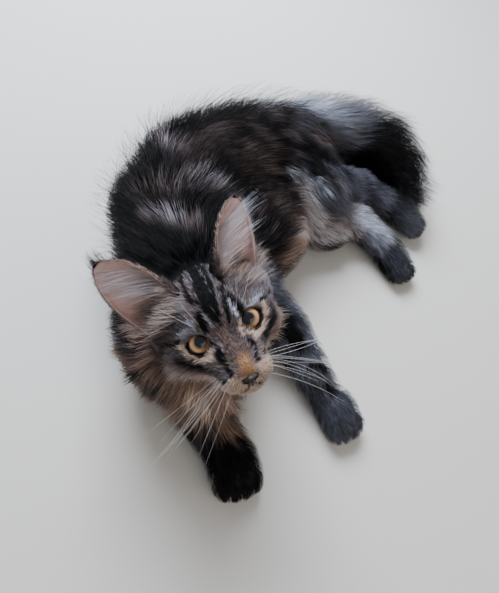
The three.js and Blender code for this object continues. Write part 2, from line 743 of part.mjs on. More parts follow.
// The lie of the coat: back along the body, down the flanks and away from the face
const headMiddle = onHead(0, -2, -20);
const backward = (root, tangent) => tangent.clone();
const awayFromFace = (root) => root.clone().sub(headMiddle);

function torsoLie(root, tangent) {
  const underside = THREE.MathUtils.smoothstep(root.x, BELLY.centre[0] - 30, BELLY.centre[0] + 30);
  const belly = underside * THREE.MathUtils.smoothstep(400 - root.y, 0, 60);
  return tangent.clone().addScaledVector(at(1, -0.1, -0.35), 1.1 * belly);
}

function legCoat(name) {
  const forms = FORMS[name];
  if (name.startsWith('foreleg')) {
    const stations = name.endsWith('left') ? FORELEG_LEFT_STATIONS : FORELEG_RIGHT_STATIONS;
    return [
      ...growCoat(name, middles(stations.slice(1)), forms.slice(1, -1), COATS.foreleg, backward),
      ...pawTufts(name),
    ];
  }
  const left = name.endsWith('left');
  const thigh = left ? THIGH_LEFT_STATIONS : THIGH_RIGHT_STATIONS;
  const foot = left ? FOOT_LEFT_STATIONS : FOOT_RIGHT_STATIONS;
  return [
    ...growCoat(name, middles(thigh), forms.slice(0, 1), COATS.thigh, backward),
    ...growCoat(name, middles(foot), forms.slice(2, -1), COATS.foot, backward),
    ...pawTufts(name),
  ];
}

function headCoat() {
  const axis = [onHead(0, -6, -56), onHead(0, -8, -14)].map((point) => point.toArray());
  const toHead = HEAD_FRAME.clone().invert();
  const onCheek = (root) => {
    const place = root.clone().applyMatrix4(toHead);
    return Math.abs(place.x) > 22 && place.y < 6;
  };
  const lie = (root) => {
    const side = Math.sign(root.clone().applyMatrix4(toHead).x);
    return headDirection(side * 0.5, -0.6, -0.8);
  };
  const options = { share: 1, up: headDirection(0, 1, 0), accept: onCheek };
  return growCoat('head', axis, FORMS.head, COATS.cheek, lie, options);
}

const coats = {
  torso: growCoat('torso', TORSO_AXIS, FORMS.torso, COATS.torso, torsoLie),
  neck: growCoat('neck', NECK_AXIS, FORMS.neck, COATS.neck, awayFromFace),
};
for (const name of Object.keys(PAWS)) coats[name] = legCoat(name);
for (const [name, span] of Object.entries(TAIL_SPANS)) {
  coats[name] = growCoat(name, middles(TAIL_STATIONS.slice(...span)), FORMS[name], COATS.tail, backward);
}

addFleshNode('torso', COLOURS.charcoal, coats.torso);
const cheeks = headCoat();
addNode(
  'head',
  COLOURS.grey,
  join([makeHead(0), ...cheeks.map(({ lock }) => lock)]),
  join([makeHead(GAP), ...cheeks.map(({ clearance }) => clearance)]),
);
addFleshNode('foreleg_left', COLOURS.charcoal, coats.foreleg_left);
addFleshNode('foreleg_right', COLOURS.charcoal, coats.foreleg_right);
addFleshNode('neck', COLOURS.buff, coats.neck);
addFleshNode('hindleg_left', COLOURS.charcoal, coats.hindleg_left);
addFleshNode('hindleg_right', COLOURS.grey, coats.hindleg_right);
for (const name of Object.keys(TAIL_SPANS)) addFleshNode(name, COLOURS.tail, coats[name]);
for (const [name, side] of [['left', 1], ['right', -1]]) {
  addNode(`ear_${name}`, COLOURS.ear, join([solidOf(earShell(side)), ...earHair(side)]), null);
  const amber = new THREE.MeshStandardMaterial({ color: COLOURS.amber });
  const mesh = new THREE.Mesh(eyeball(side, EYE_RADIUS), amber);
  mesh.name = `eye_${name}`;
  group.add(mesh);
}

// The origin goes to the floor under the middle of the cat
const box = new THREE.Box3().setFromObject(group);
const middle = box.getCenter(new THREE.Vector3());
group.position.set(-middle.x, -middle.y, -box.min.z);

export default group;
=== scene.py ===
import math

import bpy
import numpy as np
import openvdb
from mathutils import Matrix, Vector, kdtree


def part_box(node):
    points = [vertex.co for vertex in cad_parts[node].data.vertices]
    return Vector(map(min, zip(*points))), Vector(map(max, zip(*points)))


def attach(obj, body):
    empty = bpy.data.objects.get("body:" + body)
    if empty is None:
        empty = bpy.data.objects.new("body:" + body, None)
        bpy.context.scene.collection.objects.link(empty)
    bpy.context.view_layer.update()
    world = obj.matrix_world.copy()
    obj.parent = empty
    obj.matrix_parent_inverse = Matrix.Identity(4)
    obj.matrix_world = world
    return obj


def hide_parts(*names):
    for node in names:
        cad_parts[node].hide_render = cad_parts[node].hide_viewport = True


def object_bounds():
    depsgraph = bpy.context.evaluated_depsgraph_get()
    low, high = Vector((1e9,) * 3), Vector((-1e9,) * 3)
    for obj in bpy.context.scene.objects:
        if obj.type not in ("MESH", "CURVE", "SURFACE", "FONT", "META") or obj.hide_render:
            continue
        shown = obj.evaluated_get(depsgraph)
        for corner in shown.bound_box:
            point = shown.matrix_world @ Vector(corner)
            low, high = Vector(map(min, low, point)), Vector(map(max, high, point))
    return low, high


MM = 0.001
SIDES = ((-1, "right"), (1, "left"))
rng = np.random.default_rng(27)

# The head, in its own axes: x to the cat's left, y to the crown, z out along the nose
EYE_MIDPOINT = np.array([-5.5, 130.6, 148.7])
HEAD_HEADING = -57.3
HEAD_LIFT = 45.8
HEAD_ROLL = 21.3
EYE_SPACING = 36.0
EYE_RADIUS = 10.8
EYE_SHIFT = (0.4, -2.0)
EYE_DEPTH = -9.0
EYE_TURN, EYE_TIP, EYE_SLANT = 9, -12, 14
EYE_OPENING = (8.8, 7.2)
LID_THICKNESS = 1.1
PUPIL_RADIUS = 4.0
CORNEA_BULGE = 0.9
LOOKS_AT = {-1: (30, 6), 1: (10, -12)}  # mm right of and above the camera that each eye points
EARS = {  # root, tip and the way the cup faces
    -1: ((-34.5, 32, -32), (-54.5, 70, -36), (-0.32, 0.05, 1)),
    1: ((26.5, 33.5, -33), (45, 74, -38), (0.68, 0, 1)),
}
EAR_LENGTH = 41.0
EAR_HALF_WIDTH = 18.5
EAR_ROUNDING = (3.4, 0.75)
EAR_DEPTH = 13.0
EAR_WALL = 1.1
EAR_RIM = 0.6
EAR_SINK = 12.0
EAR_WRAP = (90, 30)
EAR_SIDES = 33  # points from rim to rim on each face of an ear

# Each length of the body is a row of round stations: x, y, z, flesh radius, depth of coat
TORSO = [
    (-22, 174, 60, 38, 14),
    (-58, 210, 66, 44, 13),
    (-93, 262, 62, 46, 13),
    (-95, 318, 58, 45, 13),
    (-71, 363, 55, 41, 13),
    (-42, 394, 52, 37, 13),
    (-14, 412, 46, 31, 13),
]
BELLY_CENTRE = (-26, 300, 38)
BELLY_SIZE = (46, 66, 36)
NECK = [(-50, 195, 84, 34, 16), (-34, 168, 98, 30, 16)]
FORELEG_LEFT = [
    (-20, 224, 56, 26, 12),
    (4, 238, 32, 18, 10),
    (44, 216, 28, 14, 9),
    (88, 182, 20, 13, 8),
]
FORELEG_RIGHT = [
    (-46, 200, 48, 26, 12),
    (-36, 156, 28, 17, 11),
    (4, 112, 22, 14, 9),
    (28, 96, 18, 13, 8),
]
THIGH_LEFT = [(-22, 398, 62, 32, 13), (20, 366, 58, 24, 12)]
SHIN_LEFT = [(20, 366, 58, 20, 12), (66, 420, 32, 13, 10)]
FOOT_LEFT = [(66, 420, 30, 12, 9), (120, 422, 24, 12, 8)]
THIGH_RIGHT = [(0, 390, 34, 28, 12), (45, 354, 24, 20, 11)]
SHIN_RIGHT = [(45, 354, 24, 18, 10), (70, 382, 24, 13, 9)]
FOOT_RIGHT = [(70, 382, 24, 13, 9), (120, 364, 20, 12, 8)]
TAIL = [
    (-27, 453, 50, 14, 22),
    (8, 487, 42, 11, 27),
    (47, 501, 38, 10, 31),
    (84, 490, 36, 9, 31),
    (105, 467, 32, 8, 29),
    (112, 442, 27, 5, 23),
]
# Paws: centre, heading in degrees from +X, half length, half width, half height
PAWS = {
    "foreleg_left": ((115, 164, 14), -40, (22, 17, 13)),
    "foreleg_right": ((44, 83, 14), -52, (20, 18, 13)),
    "hindleg_left": ((135, 417, 18), -18, (18, 14, 12)),
    "hindleg_right": ((135, 354, 14), -38, (19, 15, 12)),
}
PAW_COAT = 6
TOE_COAT = 3

# The camera: over the cat, leaning down and rolled over
CAMERA_HEIGHT = 430.0
CAMERA_DOWN = 60.05
CAMERA_ROLL = 23.08
CAMERA_LENS = 29.14


def unit(vectors):
    return vectors / np.maximum(np.linalg.norm(vectors, axis=-1, keepdims=True), 1e-9)


def turn(axis, degrees):
    """Rotation matrix about the x, y or z axis."""
    c, s = math.cos(math.radians(degrees)), math.sin(math.radians(degrees))
    i, j = {"x": (1, 2), "y": (2, 0), "z": (0, 1)}[axis]
    made = np.eye(3)
    made[i, i] = made[j, j] = c
    made[i, j], made[j, i] = -s, s
    return made


def head_axes():
    heading, lift = math.radians(HEAD_HEADING), math.radians(HEAD_LIFT)
    level = math.cos(lift)
    nose = np.array([level * math.cos(heading), level * math.sin(heading), math.sin(lift)])
    left = unit(np.cross((0, 0, 1), nose))
    return np.stack([left, np.cross(nose, left), nose], axis=1) @ turn("z", HEAD_ROLL)


HEAD = head_axes()


def on_head(*points):
    return np.asarray(points, float) @ HEAD.T + EYE_MIDPOINT


def in_head(points):
    return (points - EYE_MIDPOINT) @ HEAD


def eye_axes(side):
    return HEAD @ turn("y", side * EYE_TURN) @ turn("x", EYE_TIP) @ turn("z", side * EYE_SLANT)


def eye_centre(side):
    return on_head((side * EYE_SPACING / 2 + EYE_SHIFT[0], EYE_SHIFT[1], EYE_DEPTH))[0]


# Forms: round tapers and balls, whose smooth union at a share of the coat's depth is the cat
class Taper:
    def __init__(self, start, end, blend):
        self.start, self.end, self.blend = np.array(start[:3], float), np.array(end[:3], float), blend
        self.radii, self.coats = (start[3], end[3]), (start[4], end[4])

    def along(self, points):
        axis = self.end - self.start
        return np.clip((points - self.start) @ axis / (axis @ axis), 0, 1)

    def coat(self, points):
        t = self.along(points)
        return self.coats[0] + (self.coats[1] - self.coats[0]) * t

    def distance(self, points, share):
        t = self.along(points)
        radius = self.radii[0] + (self.radii[1] - self.radii[0]) * t
        radius = radius + share * (self.coats[0] + (self.coats[1] - self.coats[0]) * t)
        offset = points - self.start - t[..., None] * (self.end - self.start)
        return np.sqrt((offset * offset).sum(-1)) - radius

    def lie(self, points):
        return np.broadcast_to(unit(self.end - self.start), points.shape)


class Ball:
    def __init__(self, centre, radii, coat, blend, axes=np.eye(3)):
        self.centre, self.radii, self.depth = np.array(centre, float), np.array(radii, float), coat
        self.blend, self.axes = blend, axes

    def coat(self, points):
        return np.full(points.shape[:-1], float(self.depth))

    def distance(self, points, share):
        local = (points - self.centre) @ self.axes
        radii = self.radii + share * self.depth
        level = np.sqrt(((local / radii) ** 2).sum(-1))
        slope = np.sqrt(((local / radii**2) ** 2).sum(-1))
        return level * (level - 1) / np.maximum(slope, 1e-9)

    def lie(self, points):
        return np.broadcast_to(self.axes[:, 0], points.shape)


def limb(stations, blend):
    return [Taper(a, b, blend) for a, b in zip(stations, stations[1:])]


def head_ball(centre, radii, coat, blend=7):
    return Ball(on_head(centre)[0], radii, coat, blend, HEAD)


def head_taper(start, end, blend):
    ends = [(*on_head(p[:3])[0], *p[3:]) for p in (start, end)]
    return Taper(*ends, blend)


def paw(name):
    """The paw's own ball, and four toes in an arc at its front."""
    centre, heading, (long, wide, high) = PAWS[name]
    axes = turn("z", heading)
    forms = [Ball(centre, (long, wide, high), PAW_COAT, 8, axes)]
    for spread in (-1.5, -0.5, 0.5, 1.5):
        reach = long * (0.86 - 0.12 * abs(spread))
        spot = axes @ (reach, spread * wide * 0.5, 1 - high * 0.3) + centre
        forms.append(Ball(spot, (long * 0.45, wide * 0.3, high * 0.62), TOE_COAT, 2.5, axes))
    return forms


def head_forms():
    forms = [
        head_ball((0, 5, -38), (31, 28, 36), 4),
        head_ball((0, 13, -16), (26, 18, 18), 3),
        head_taper((0, 2, -4, 8, 2), (0, -15, 18, 7, 2), 9),
        head_ball((0, -30, 12), (9, 7, 11), 3),
        head_taper((0, -28, 4, 11, 5), (0, -22, -25, 20, 5), 12),
        head_ball((0, -18, 24), (7, 5.2, 5.4), 1, 4),
    ]
    for side in (-1, 1):
        forms += [
            head_ball((side * 24, -9, -22), (15, 16, 20), 5, 10),
            head_ball((side * 18, 0, -12), (13, 12, 12), 1, 9),
            head_ball((side * 13, -14, -1), (9, 9, 13), 2, 10),
            head_ball((side * 8, -24, 16), (9.5, 7.5, 10.5), 2.5, 6),
            head_ball((side * 32, 7, -36), (13, 17, 14), 4, 12),
        ]
    return forms


PARTS = {
    "torso": [*limb(TORSO, 20), Ball(BELLY_CENTRE, BELLY_SIZE, 14, 24)],
    "neck": [
        *limb(NECK, 18),
        Ball((-26, 142, 66), (38, 34, 44), 18, 20),
        Ball((-50, 150, 66), (30, 26, 36), 18, 20),
    ],
    "head": head_forms(),
    "foreleg_left": [*limb(FORELEG_LEFT, 12), *paw("foreleg_left")],
    "foreleg_right": [*limb(FORELEG_RIGHT, 12), *paw("foreleg_right")],
    "hindleg_left": [
        *limb(THIGH_LEFT, 14),
        *limb(SHIN_LEFT, 12),
        *limb(FOOT_LEFT, 10),
        *paw("hindleg_left"),
    ],
    "hindleg_right": [
        *limb(THIGH_RIGHT, 14),
        *limb(SHIN_RIGHT, 10),
        *limb(FOOT_RIGHT, 10),
        *paw("hindleg_right"),
    ],
    "tail": limb(TAIL, 10),
}
PART_NUMBER = {part: i for i, part in enumerate(PARTS)}
ALL_FORMS = [form for forms in PARTS.values() for form in forms]


def distance(points, share=0.0, forms=None):
    nearest = None
    for form in forms or ALL_FORMS:
        here = form.distance(points, share)
        if nearest is None:
            nearest = here
            continue
        near = np.maximum(form.blend - np.abs(nearest - here), 0) / form.blend
        nearest = np.minimum(nearest, here) - near * near * form.blend * 0.25
    return nearest


def eye_opening(points, side):
    """Distance to the almond-shaped opening between the lids, seen along the eye's own axis."""
    x, y, z = np.moveaxis((points - eye_centre(side)) @ eye_axes(side), -1, 0)
    wide, high = EYE_OPENING
    edge = (np.abs(y) - high * (1 - (x / wide) ** 2)) / np.sqrt(1 + (2 * high * x / wide**2) ** 2)
    return np.maximum(edge, 2 - z)


def skin_distance(points):
    skin = distance(points)
    for side in (-1, 1):
        lids = np.linalg.norm(points - eye_centre(side), axis=-1) - EYE_RADIUS - LID_THICKNESS
        near = np.maximum(4 - np.abs(skin - lids), 0) / 4
        skin = np.minimum(skin, lids) - near * near
    for side in (-1, 1):
        skin = np.maximum(skin, -eye_opening(points, side))
    return skin


def outward(points, field=distance, step=0.4):
    slope = [field(points + step * e) - field(points - step * e) for e in np.eye(3)]
    return unit(np.stack(slope, -1))


# The frame
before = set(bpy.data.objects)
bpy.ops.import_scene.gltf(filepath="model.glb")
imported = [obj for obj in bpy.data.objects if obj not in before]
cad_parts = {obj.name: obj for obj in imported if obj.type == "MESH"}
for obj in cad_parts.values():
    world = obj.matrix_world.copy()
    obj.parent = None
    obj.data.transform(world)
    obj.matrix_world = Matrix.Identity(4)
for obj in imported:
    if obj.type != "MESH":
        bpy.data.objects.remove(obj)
cad_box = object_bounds()


def frame_shift():
    low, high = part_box("eye_left")
    return (np.array(low) + np.array(high)) / 2 - eye_centre(1) * MM


SHIFT = frame_shift()


def place(points):
    return points * MM + SHIFT


def add_mesh(name, points, faces, material):
    mesh = bpy.data.meshes.new(name)
    mesh.from_pydata(points.tolist(), [], faces.tolist() if hasattr(faces, "tolist") else faces)
    mesh.polygons.foreach_set("use_smooth", np.full(len(mesh.polygons), True))
    mesh.materials.append(material)
    piece = bpy.data.objects.new(name, mesh)
    bpy.context.scene.collection.objects.link(piece)
    return piece


def add_attribute(mesh, name, values):
    values = np.asarray(values, np.float32)
    kind, key = ("FLOAT_VECTOR", "vector") if values.ndim == 2 else ("FLOAT", "value")
    mesh.attributes.new(name, kind, "POINT").data.foreach_set(key, values.ravel())


# Surfaces: a field's zero level on a fine grid, worked out only near the surface
BLOCK = 4


def isosurface(field, low, high, step):
    low, coarse = np.array(low, float), step * BLOCK
    counts = np.ceil((np.array(high) - low) / coarse).astype(int)
    centres = [low[i] + coarse * (np.arange(counts[i]) + 0.5) for i in range(3)]
    rough = field(np.stack(np.meshgrid(*centres, indexing="ij"), -1)).astype(np.float32)
    dense = rough.repeat(BLOCK, 0).repeat(BLOCK, 1).repeat(BLOCK, 2)
    near = np.argwhere(np.abs(rough) < 1.5 * coarse)
    inner = np.stack(np.meshgrid(*[np.arange(BLOCK)] * 3, indexing="ij"), -1).reshape(-1, 3)
    cells = (near[:, None] * BLOCK + inner).reshape(-1, 3)
    dense[tuple(cells.T)] = field(low + step * (cells + 0.5))
    grid = openvdb.FloatGrid(background=coarse)
    grid.copyFromArray(np.ascontiguousarray(dense))
    points, _, quads = grid.convertToPolygons(isovalue=0.0, adaptivity=0.0)
    points = low + step * (points + 0.5)
    points -= outward(points, field) * field(points)[:, None]
    return points, quads[:, ::-1].astype(int)


# A map of the height above the skin, read by every hair as it is laid over the body
class Combing:
    def __init__(self, low, high, step):
        self.low, self.step = np.array(low, float), step
        counts = np.ceil((np.array(high) - self.low) / step).astype(int)
        axes = [self.low[i] + step * np.arange(counts[i]) for i in range(3)]
        level = distance(np.stack(np.meshgrid(*axes, indexing="ij"), -1)).astype(np.float32)
        slope = np.stack(np.gradient(level, step), -1)
        self.values = np.concatenate([level[..., None], slope], -1)

    def read(self, points):
        place_in = (points - self.low) / self.step
        cell = np.clip(np.floor(place_in).astype(int), 0, np.array(self.values.shape[:3]) - 2)
        part = np.clip(place_in - cell, 0, 1)
        total = 0
        for corner in np.ndindex(2, 2, 2):
            weight = np.prod(np.where(corner, part, 1 - part), axis=1)
            total = total + weight[:, None] * self.values[tuple((cell + corner).T)]
        return total[:, 0], unit(total[:, 1:])


def waves(points, size, seed, count=6):
    """A smooth field between about -1 and 1 that rises and falls over the given size."""
    draw = np.random.default_rng(seed)
    ways = unit(draw.normal(size=(count, 3)))
    starts = draw.uniform(0, 2 * math.pi, count)
    return np.sin(points @ ways.T * (2 * math.pi / size) + starts).sum(1) / math.sqrt(count)


# Skin with eye openings
SKIN_STEP = 2.1
skin_points, skin_quads = isosurface(skin_distance, (-165, 50, -9), (165, 520, 195), SKIN_STEP)


# Lie of the coat: the way the hair points at each place
NOSE_TIP = on_head((0, -18, 30))[0]
HEAD_CENTRE = on_head((0, -2, -24))[0]
DOWN = np.array([0, 0, -1.0])
RIDGE_CHEST = np.array([-0.15, 0.0, 1.0])
RIDGE_HIPS = np.array([-0.85, 0.35, 0.55])


def chain_lie(points, forms):
    total = 0
    for form in forms:
        total = total + np.exp(-form.distance(points, 0) / 6)[:, None] * form.lie(points)
    return unit(total)


def torso_lie(points):
    forms = PARTS["torso"][:-1]
    along = unit(chain_lie(points, forms))
    axis = np.array([s[:3] for s in TORSO], float)
    nearest = np.argmin(((points[:, None] - axis) ** 2).sum(-1), axis=1)
    share = (nearest / (len(TORSO) - 1))[:, None]
    ridge = axis[nearest] + 40 * (RIDGE_CHEST * (1 - share) + RIDGE_HIPS * share)
    return along + 0.75 * unit(points - ridge)


def neck_lie(points):
    return unit(points - HEAD_CENTRE) + 0.3 * DOWN


def head_lie(points):
    away = unit(points - NOSE_TIP)
    for side in (-1, 1):
        eye = eye_centre(side) + 6 * eye_axes(side)[:, 2]
        gap = np.linalg.norm(points - eye, axis=1)
        away = away + (0.7 * np.exp(-(((gap - 9) / 5) ** 2)))[:, None] * unit(points - eye)
    return away


def limb_lie(part):
    return lambda points: chain_lie(points, PARTS[part]) + 0.15 * DOWN


LIES = {part: limb_lie(part) for part in PARTS}
LIES |= {"torso": torso_lie, "neck": neck_lie, "head": head_lie}


def part_distances(points):
    return np.stack([distance(points, 0, forms) for forms in PARTS.values()], -1)


def flow(points):
    weights = np.exp(-part_distances(points) / 7)
    total = 0
    for i, part in enumerate(PARTS):
        total = total + weights[:, i : i + 1] * LIES[part](points)
    return total


def coat_depth(points):
    total = weight = 0
    for form in ALL_FORMS:
        here = np.exp(-np.maximum(form.distance(points, 0), -4) / 4)
        total, weight = total + here * form.coat(points), weight + here
    return total / weight


# Roots: random places on the skin, as many as each part's fur takes
class Hide:
    def __init__(self, points, quads):
        self.corners = points[quads]
        a, b, c, d = np.moveaxis(self.corners, 1, 0)
        self.area = np.linalg.norm(np.cross(c - a, d - b), axis=1) / 2
        self.centres = self.corners.mean(1)
        self.part = np.argmin(part_distances(self.centres), axis=1)

    def roots(self, count, density):
        chance = np.cumsum(self.area * density)
        faces = np.searchsorted(chance, rng.uniform(0, chance[-1], count))
        u, v = rng.uniform(size=(2, count, 1))
        a, b, c, d = np.moveaxis(self.corners[faces], 1, 0)
        points = (a * (1 - u) + b * u) * (1 - v) + (d * (1 - u) + c * u) * v
        return points - outward(points) * distance(points)[:, None]


hide = Hide(skin_points, skin_quads)
body_map = Combing((-190, 30, -20), (200, 550, 240), 4.0)
head_map = Combing((-75, 60, 60), (70, 215, 215), 2.0)
JOINTS = 6  # steps along each hair's path
FLOOR_GAP = 1.6  # the least height of a hair's middle line over the floor
REACH, REACH_SHARE = 7.0, 0.03  # how far hair may pass the box: mm, and share of its sides


def comb(roots, heading, length, height, chart, hold=0.45):
    """Paths of hairs laid over the skin: each point keeps its height above it, or floats free."""
    level, normal = chart.read(roots)
    path = [roots - 1.2 * normal]
    here, lift_before = roots, 0
    stride = length / JOINTS
    for k in range(1, JOINTS + 1):
        lift = height * (1 - (1 - k / JOINTS) ** 1.8)
        step = np.sqrt(np.maximum(stride**2 - (lift - lift_before) ** 2, (0.3 * stride) ** 2))
        heading = unit(heading - (heading * normal).sum(1, keepdims=True) * normal)
        here = here + heading * step[:, None]
        level, normal = chart.read(here)
        miss = lift - level
        here = here + normal * (np.where(miss > 0, 1, hold) * miss)[:, None]
        here[:, 2] = np.maximum(here[:, 2], 0.8)
        lift_before = lift
        path.append(here)
    return np.stack(path, 1)


def within_reach(path):
    """Hairs that would leave the cat's box are cut shorter, and none sinks into the floor."""
    low, high = np.array(cad_box, float)
    spare = REACH_SHARE * (high - low) + REACH * MM
    low, high = (low - spare - SHIFT) / MM, (high + spare - SHIFT) / MM
    root = path[:, 0]
    over = np.maximum((path.max(1) - root) / (high - root), (root - path.min(1)) / (root - low))
    over = over[:, :2].max(1)
    path = root[:, None] + (path - root[:, None]) / np.maximum(over, 1)[:, None, None]
    path[:, :, 2] = np.maximum(path[:, :, 2], FLOOR_GAP)
    return path


def gather(path, roots, spacing, strength):
    """Hairs lean to the nearest of a few leading hairs, more so at their tips, as locks do."""
    leaders = rng.choice(len(roots), max(len(roots) // spacing, 1), replace=False)
    tree = kdtree.KDTree(len(leaders))
    for i, leader in enumerate(leaders):
        tree.insert(roots[leader], i)
    tree.balance()
    nearest = leaders[[tree.find(root)[1] for root in roots]]
    pull = strength * (np.arange(JOINTS + 1) / JOINTS) ** 1.3
    return path + (path[nearest] - path) * pull[None, :, None]


# Markings: dark, warm and pale shares of the coat at each place
def smooth(low, high, values):
    t = np.clip((values - low) / (high - low), 0, 1)
    return t * t * (3 - 2 * t)


def stroke(points, line, radius, soft=0.5):
    """How much a place lies under a stroke along a line of points."""
    line = np.atleast_2d(np.array(line, float))
    gap = np.full(len(points), 1e9)
    for a, b in zip(line, line[1:] if len(line) > 1 else line):
        axis = b - a
        t = np.clip((points - a) @ axis / max(axis @ axis, 1e-9), 0, 1)
        gap = np.minimum(gap, np.linalg.norm(points - a - t[:, None] * axis, axis=1))
    return 1 - smooth(radius * (1 - soft), radius * (1 + soft), gap)


PIGMENTS = {  # what a mark paints: shares of dark, warm and pale hair
    "black": (1.0, 0.2, 0.0),
    "ash": (0.66, 0.45, 0.08),
    "umber": (0.82, 0.5, 0.05),
    "slate": (0.66, 0.0, 0.1),
    "grey": (0.5, 0.3, 0.12),
    "silver": (0.22, 0.25, 0.22),
    "blue": (0.12, 0.0, 0.3),
    "pearl": (0.12, 0.12, 0.6),
    "taupe": (0.54, 0.6, 0.14),
    "fawn": (0.3, 0.45, 0.4),
    "buff": (0.2, 0.75, 0.2),
    "cream": (0.0, 0.85, 0.75),
    "ivory": (0.0, 0.35, 1.0),
    "white": (0.0, 0.05, 1.0),
    "tan": (0.0, 1.0, 0.12),
}
# Marks on the body: pigment, radius in mm, and the line that it follows
BODY_MARKS = (
    ("umber", 16, (-76, 323, 114), (-52, 317, 100), (-32, 320, 88), (-14, 313, 82)),
    ("umber", 12, (-86, 298, 118), (-89, 272, 121)),
    ("grey", 7, (-132, 302, 102), (-116, 287, 114), (-106, 283, 118)),
    ("silver", 5, (-120, 292, 112), (-110, 284, 117)),
    ("ash", 7, (-106, 290, 117), (-94, 320, 117), (-83, 342, 114)),
    ("grey", 9, (-94, 242, 120), (-83, 257, 122), (-72, 269, 119), (-59, 272, 113), (-50, 276, 107)),
    ("silver", 7, (-80, 262, 121), (-70, 270, 118), (-59, 272, 113)),
    ("grey", 8, (-95, 214, 114), (-81, 214, 122), (-64, 209, 129)),
    ("silver", 7, (-88, 214, 119), (-78, 214, 123), (-70, 212, 127)),
    ("ash", 6, (-62, 208, 129), (-50, 205, 131)),
    ("ash", 6, (-117, 231, 107), (-105, 233, 114), (-95, 239, 119)),
    ("ash", 8, (-58, 333, 108), (-40, 335, 97), (-26, 338, 88)),
    ("ash", 6, (-32, 306, 89), (-18, 305, 84), (-3, 300, 80)),
    ("ash", 6, (-27, 278, 87), (-15, 276, 82), (-6, 274, 78)),
    ("grey", 5, (-68, 397, 102), (-45, 382, 106), (-24, 378, 102), (-7, 376, 97)),
    ("ash", 7, (-71, 363, 111), (-49, 356, 106), (-30, 352, 94)),
    ("cream", 11, (23, 296, 56), (24, 316, 50), (34, 330, 42)),
    ("buff", 9, (23, 292, 62), (21, 277, 59), (19, 262, 56)),
    ("white", 7, (-12, 351, 86), (-1, 346, 82), (11, 339, 77)),
    ("black", 8, (6, 362, 92), (26, 360, 91), (42, 361, 84)),
    ("black", 10, (-10, 378, 94), (24, 388, 88), (46, 386, 78)),
    ("grey", 6, (-6, 392, 99), (8, 398, 92)),
    ("white", 3.5, (18, 352, 88), (34, 344, 79)),
    ("silver", 4, (35, 360, 88), (53, 364, 69)),
    ("fawn", 15, (36, 344, 40), (58, 350, 34), (76, 358, 30)),
    ("ivory", 9, (34, 326, 27), (50, 327, 34), (64, 336, 37), (78, 350, 30)),
    ("ivory", 11, (3, 342, 78), (13, 335, 73), (26, 332, 62), (36, 333, 46), (44, 329, 39)),
    ("ivory", 6, (20, 300, 62), (20, 316, 58)),
    ("fawn", 7, (60, 370, 50), (77, 374, 44)),
    # The near hind foot: pale fur on its inner side, brightened and tinted blue along its top as a
    # painted reflection of the window light
    ("white", 13, (76, 374, 42), (97, 368, 38), (108, 360, 34)),
    ("blue", 9, (99, 357, 31), (118, 351, 30)),
    ("slate", 13, (128, 354, 28), (145, 345, 26)),
    ("blue", 12, (-60, 430, 84), (-40, 446, 80), (-10, 462, 76), (14, 470, 70)),
    ("white", 14, (-68, 428, 84), (-50, 444, 80), (-30, 456, 79), (-10, 466, 78)),
    ("ash", 9, (0, 406, 92), (20, 424, 76)),
    ("black", 10, (33, 217, 51), (54, 199, 45)),
    ("black", 4, (55, 194, 44), (69, 204, 43)),
    ("black", 4, (74, 183, 39), (92, 193, 36)),
    ("black", 4, (90, 168, 34), (106, 180, 30)),
    ("buff", 8, (16, 105, 40), (30, 107, 32)),
    ("black", 9, (-81, 126, 88), (-66, 114, 91)),
    ("black", 9, (-56, 103, 74), (-32, 99, 78)),
    ("silver", 5, (-84, 128, 69), (-76, 120, 78)),
    ("cream", 5, (-14, 106, 96), (-6, 104, 82), (3, 104, 66)),
    ("buff", 9, (-26, 98, 62), (-12, 98, 40)),
    ("cream", 6, (12, 112, 76), (20, 118, 60)),
)
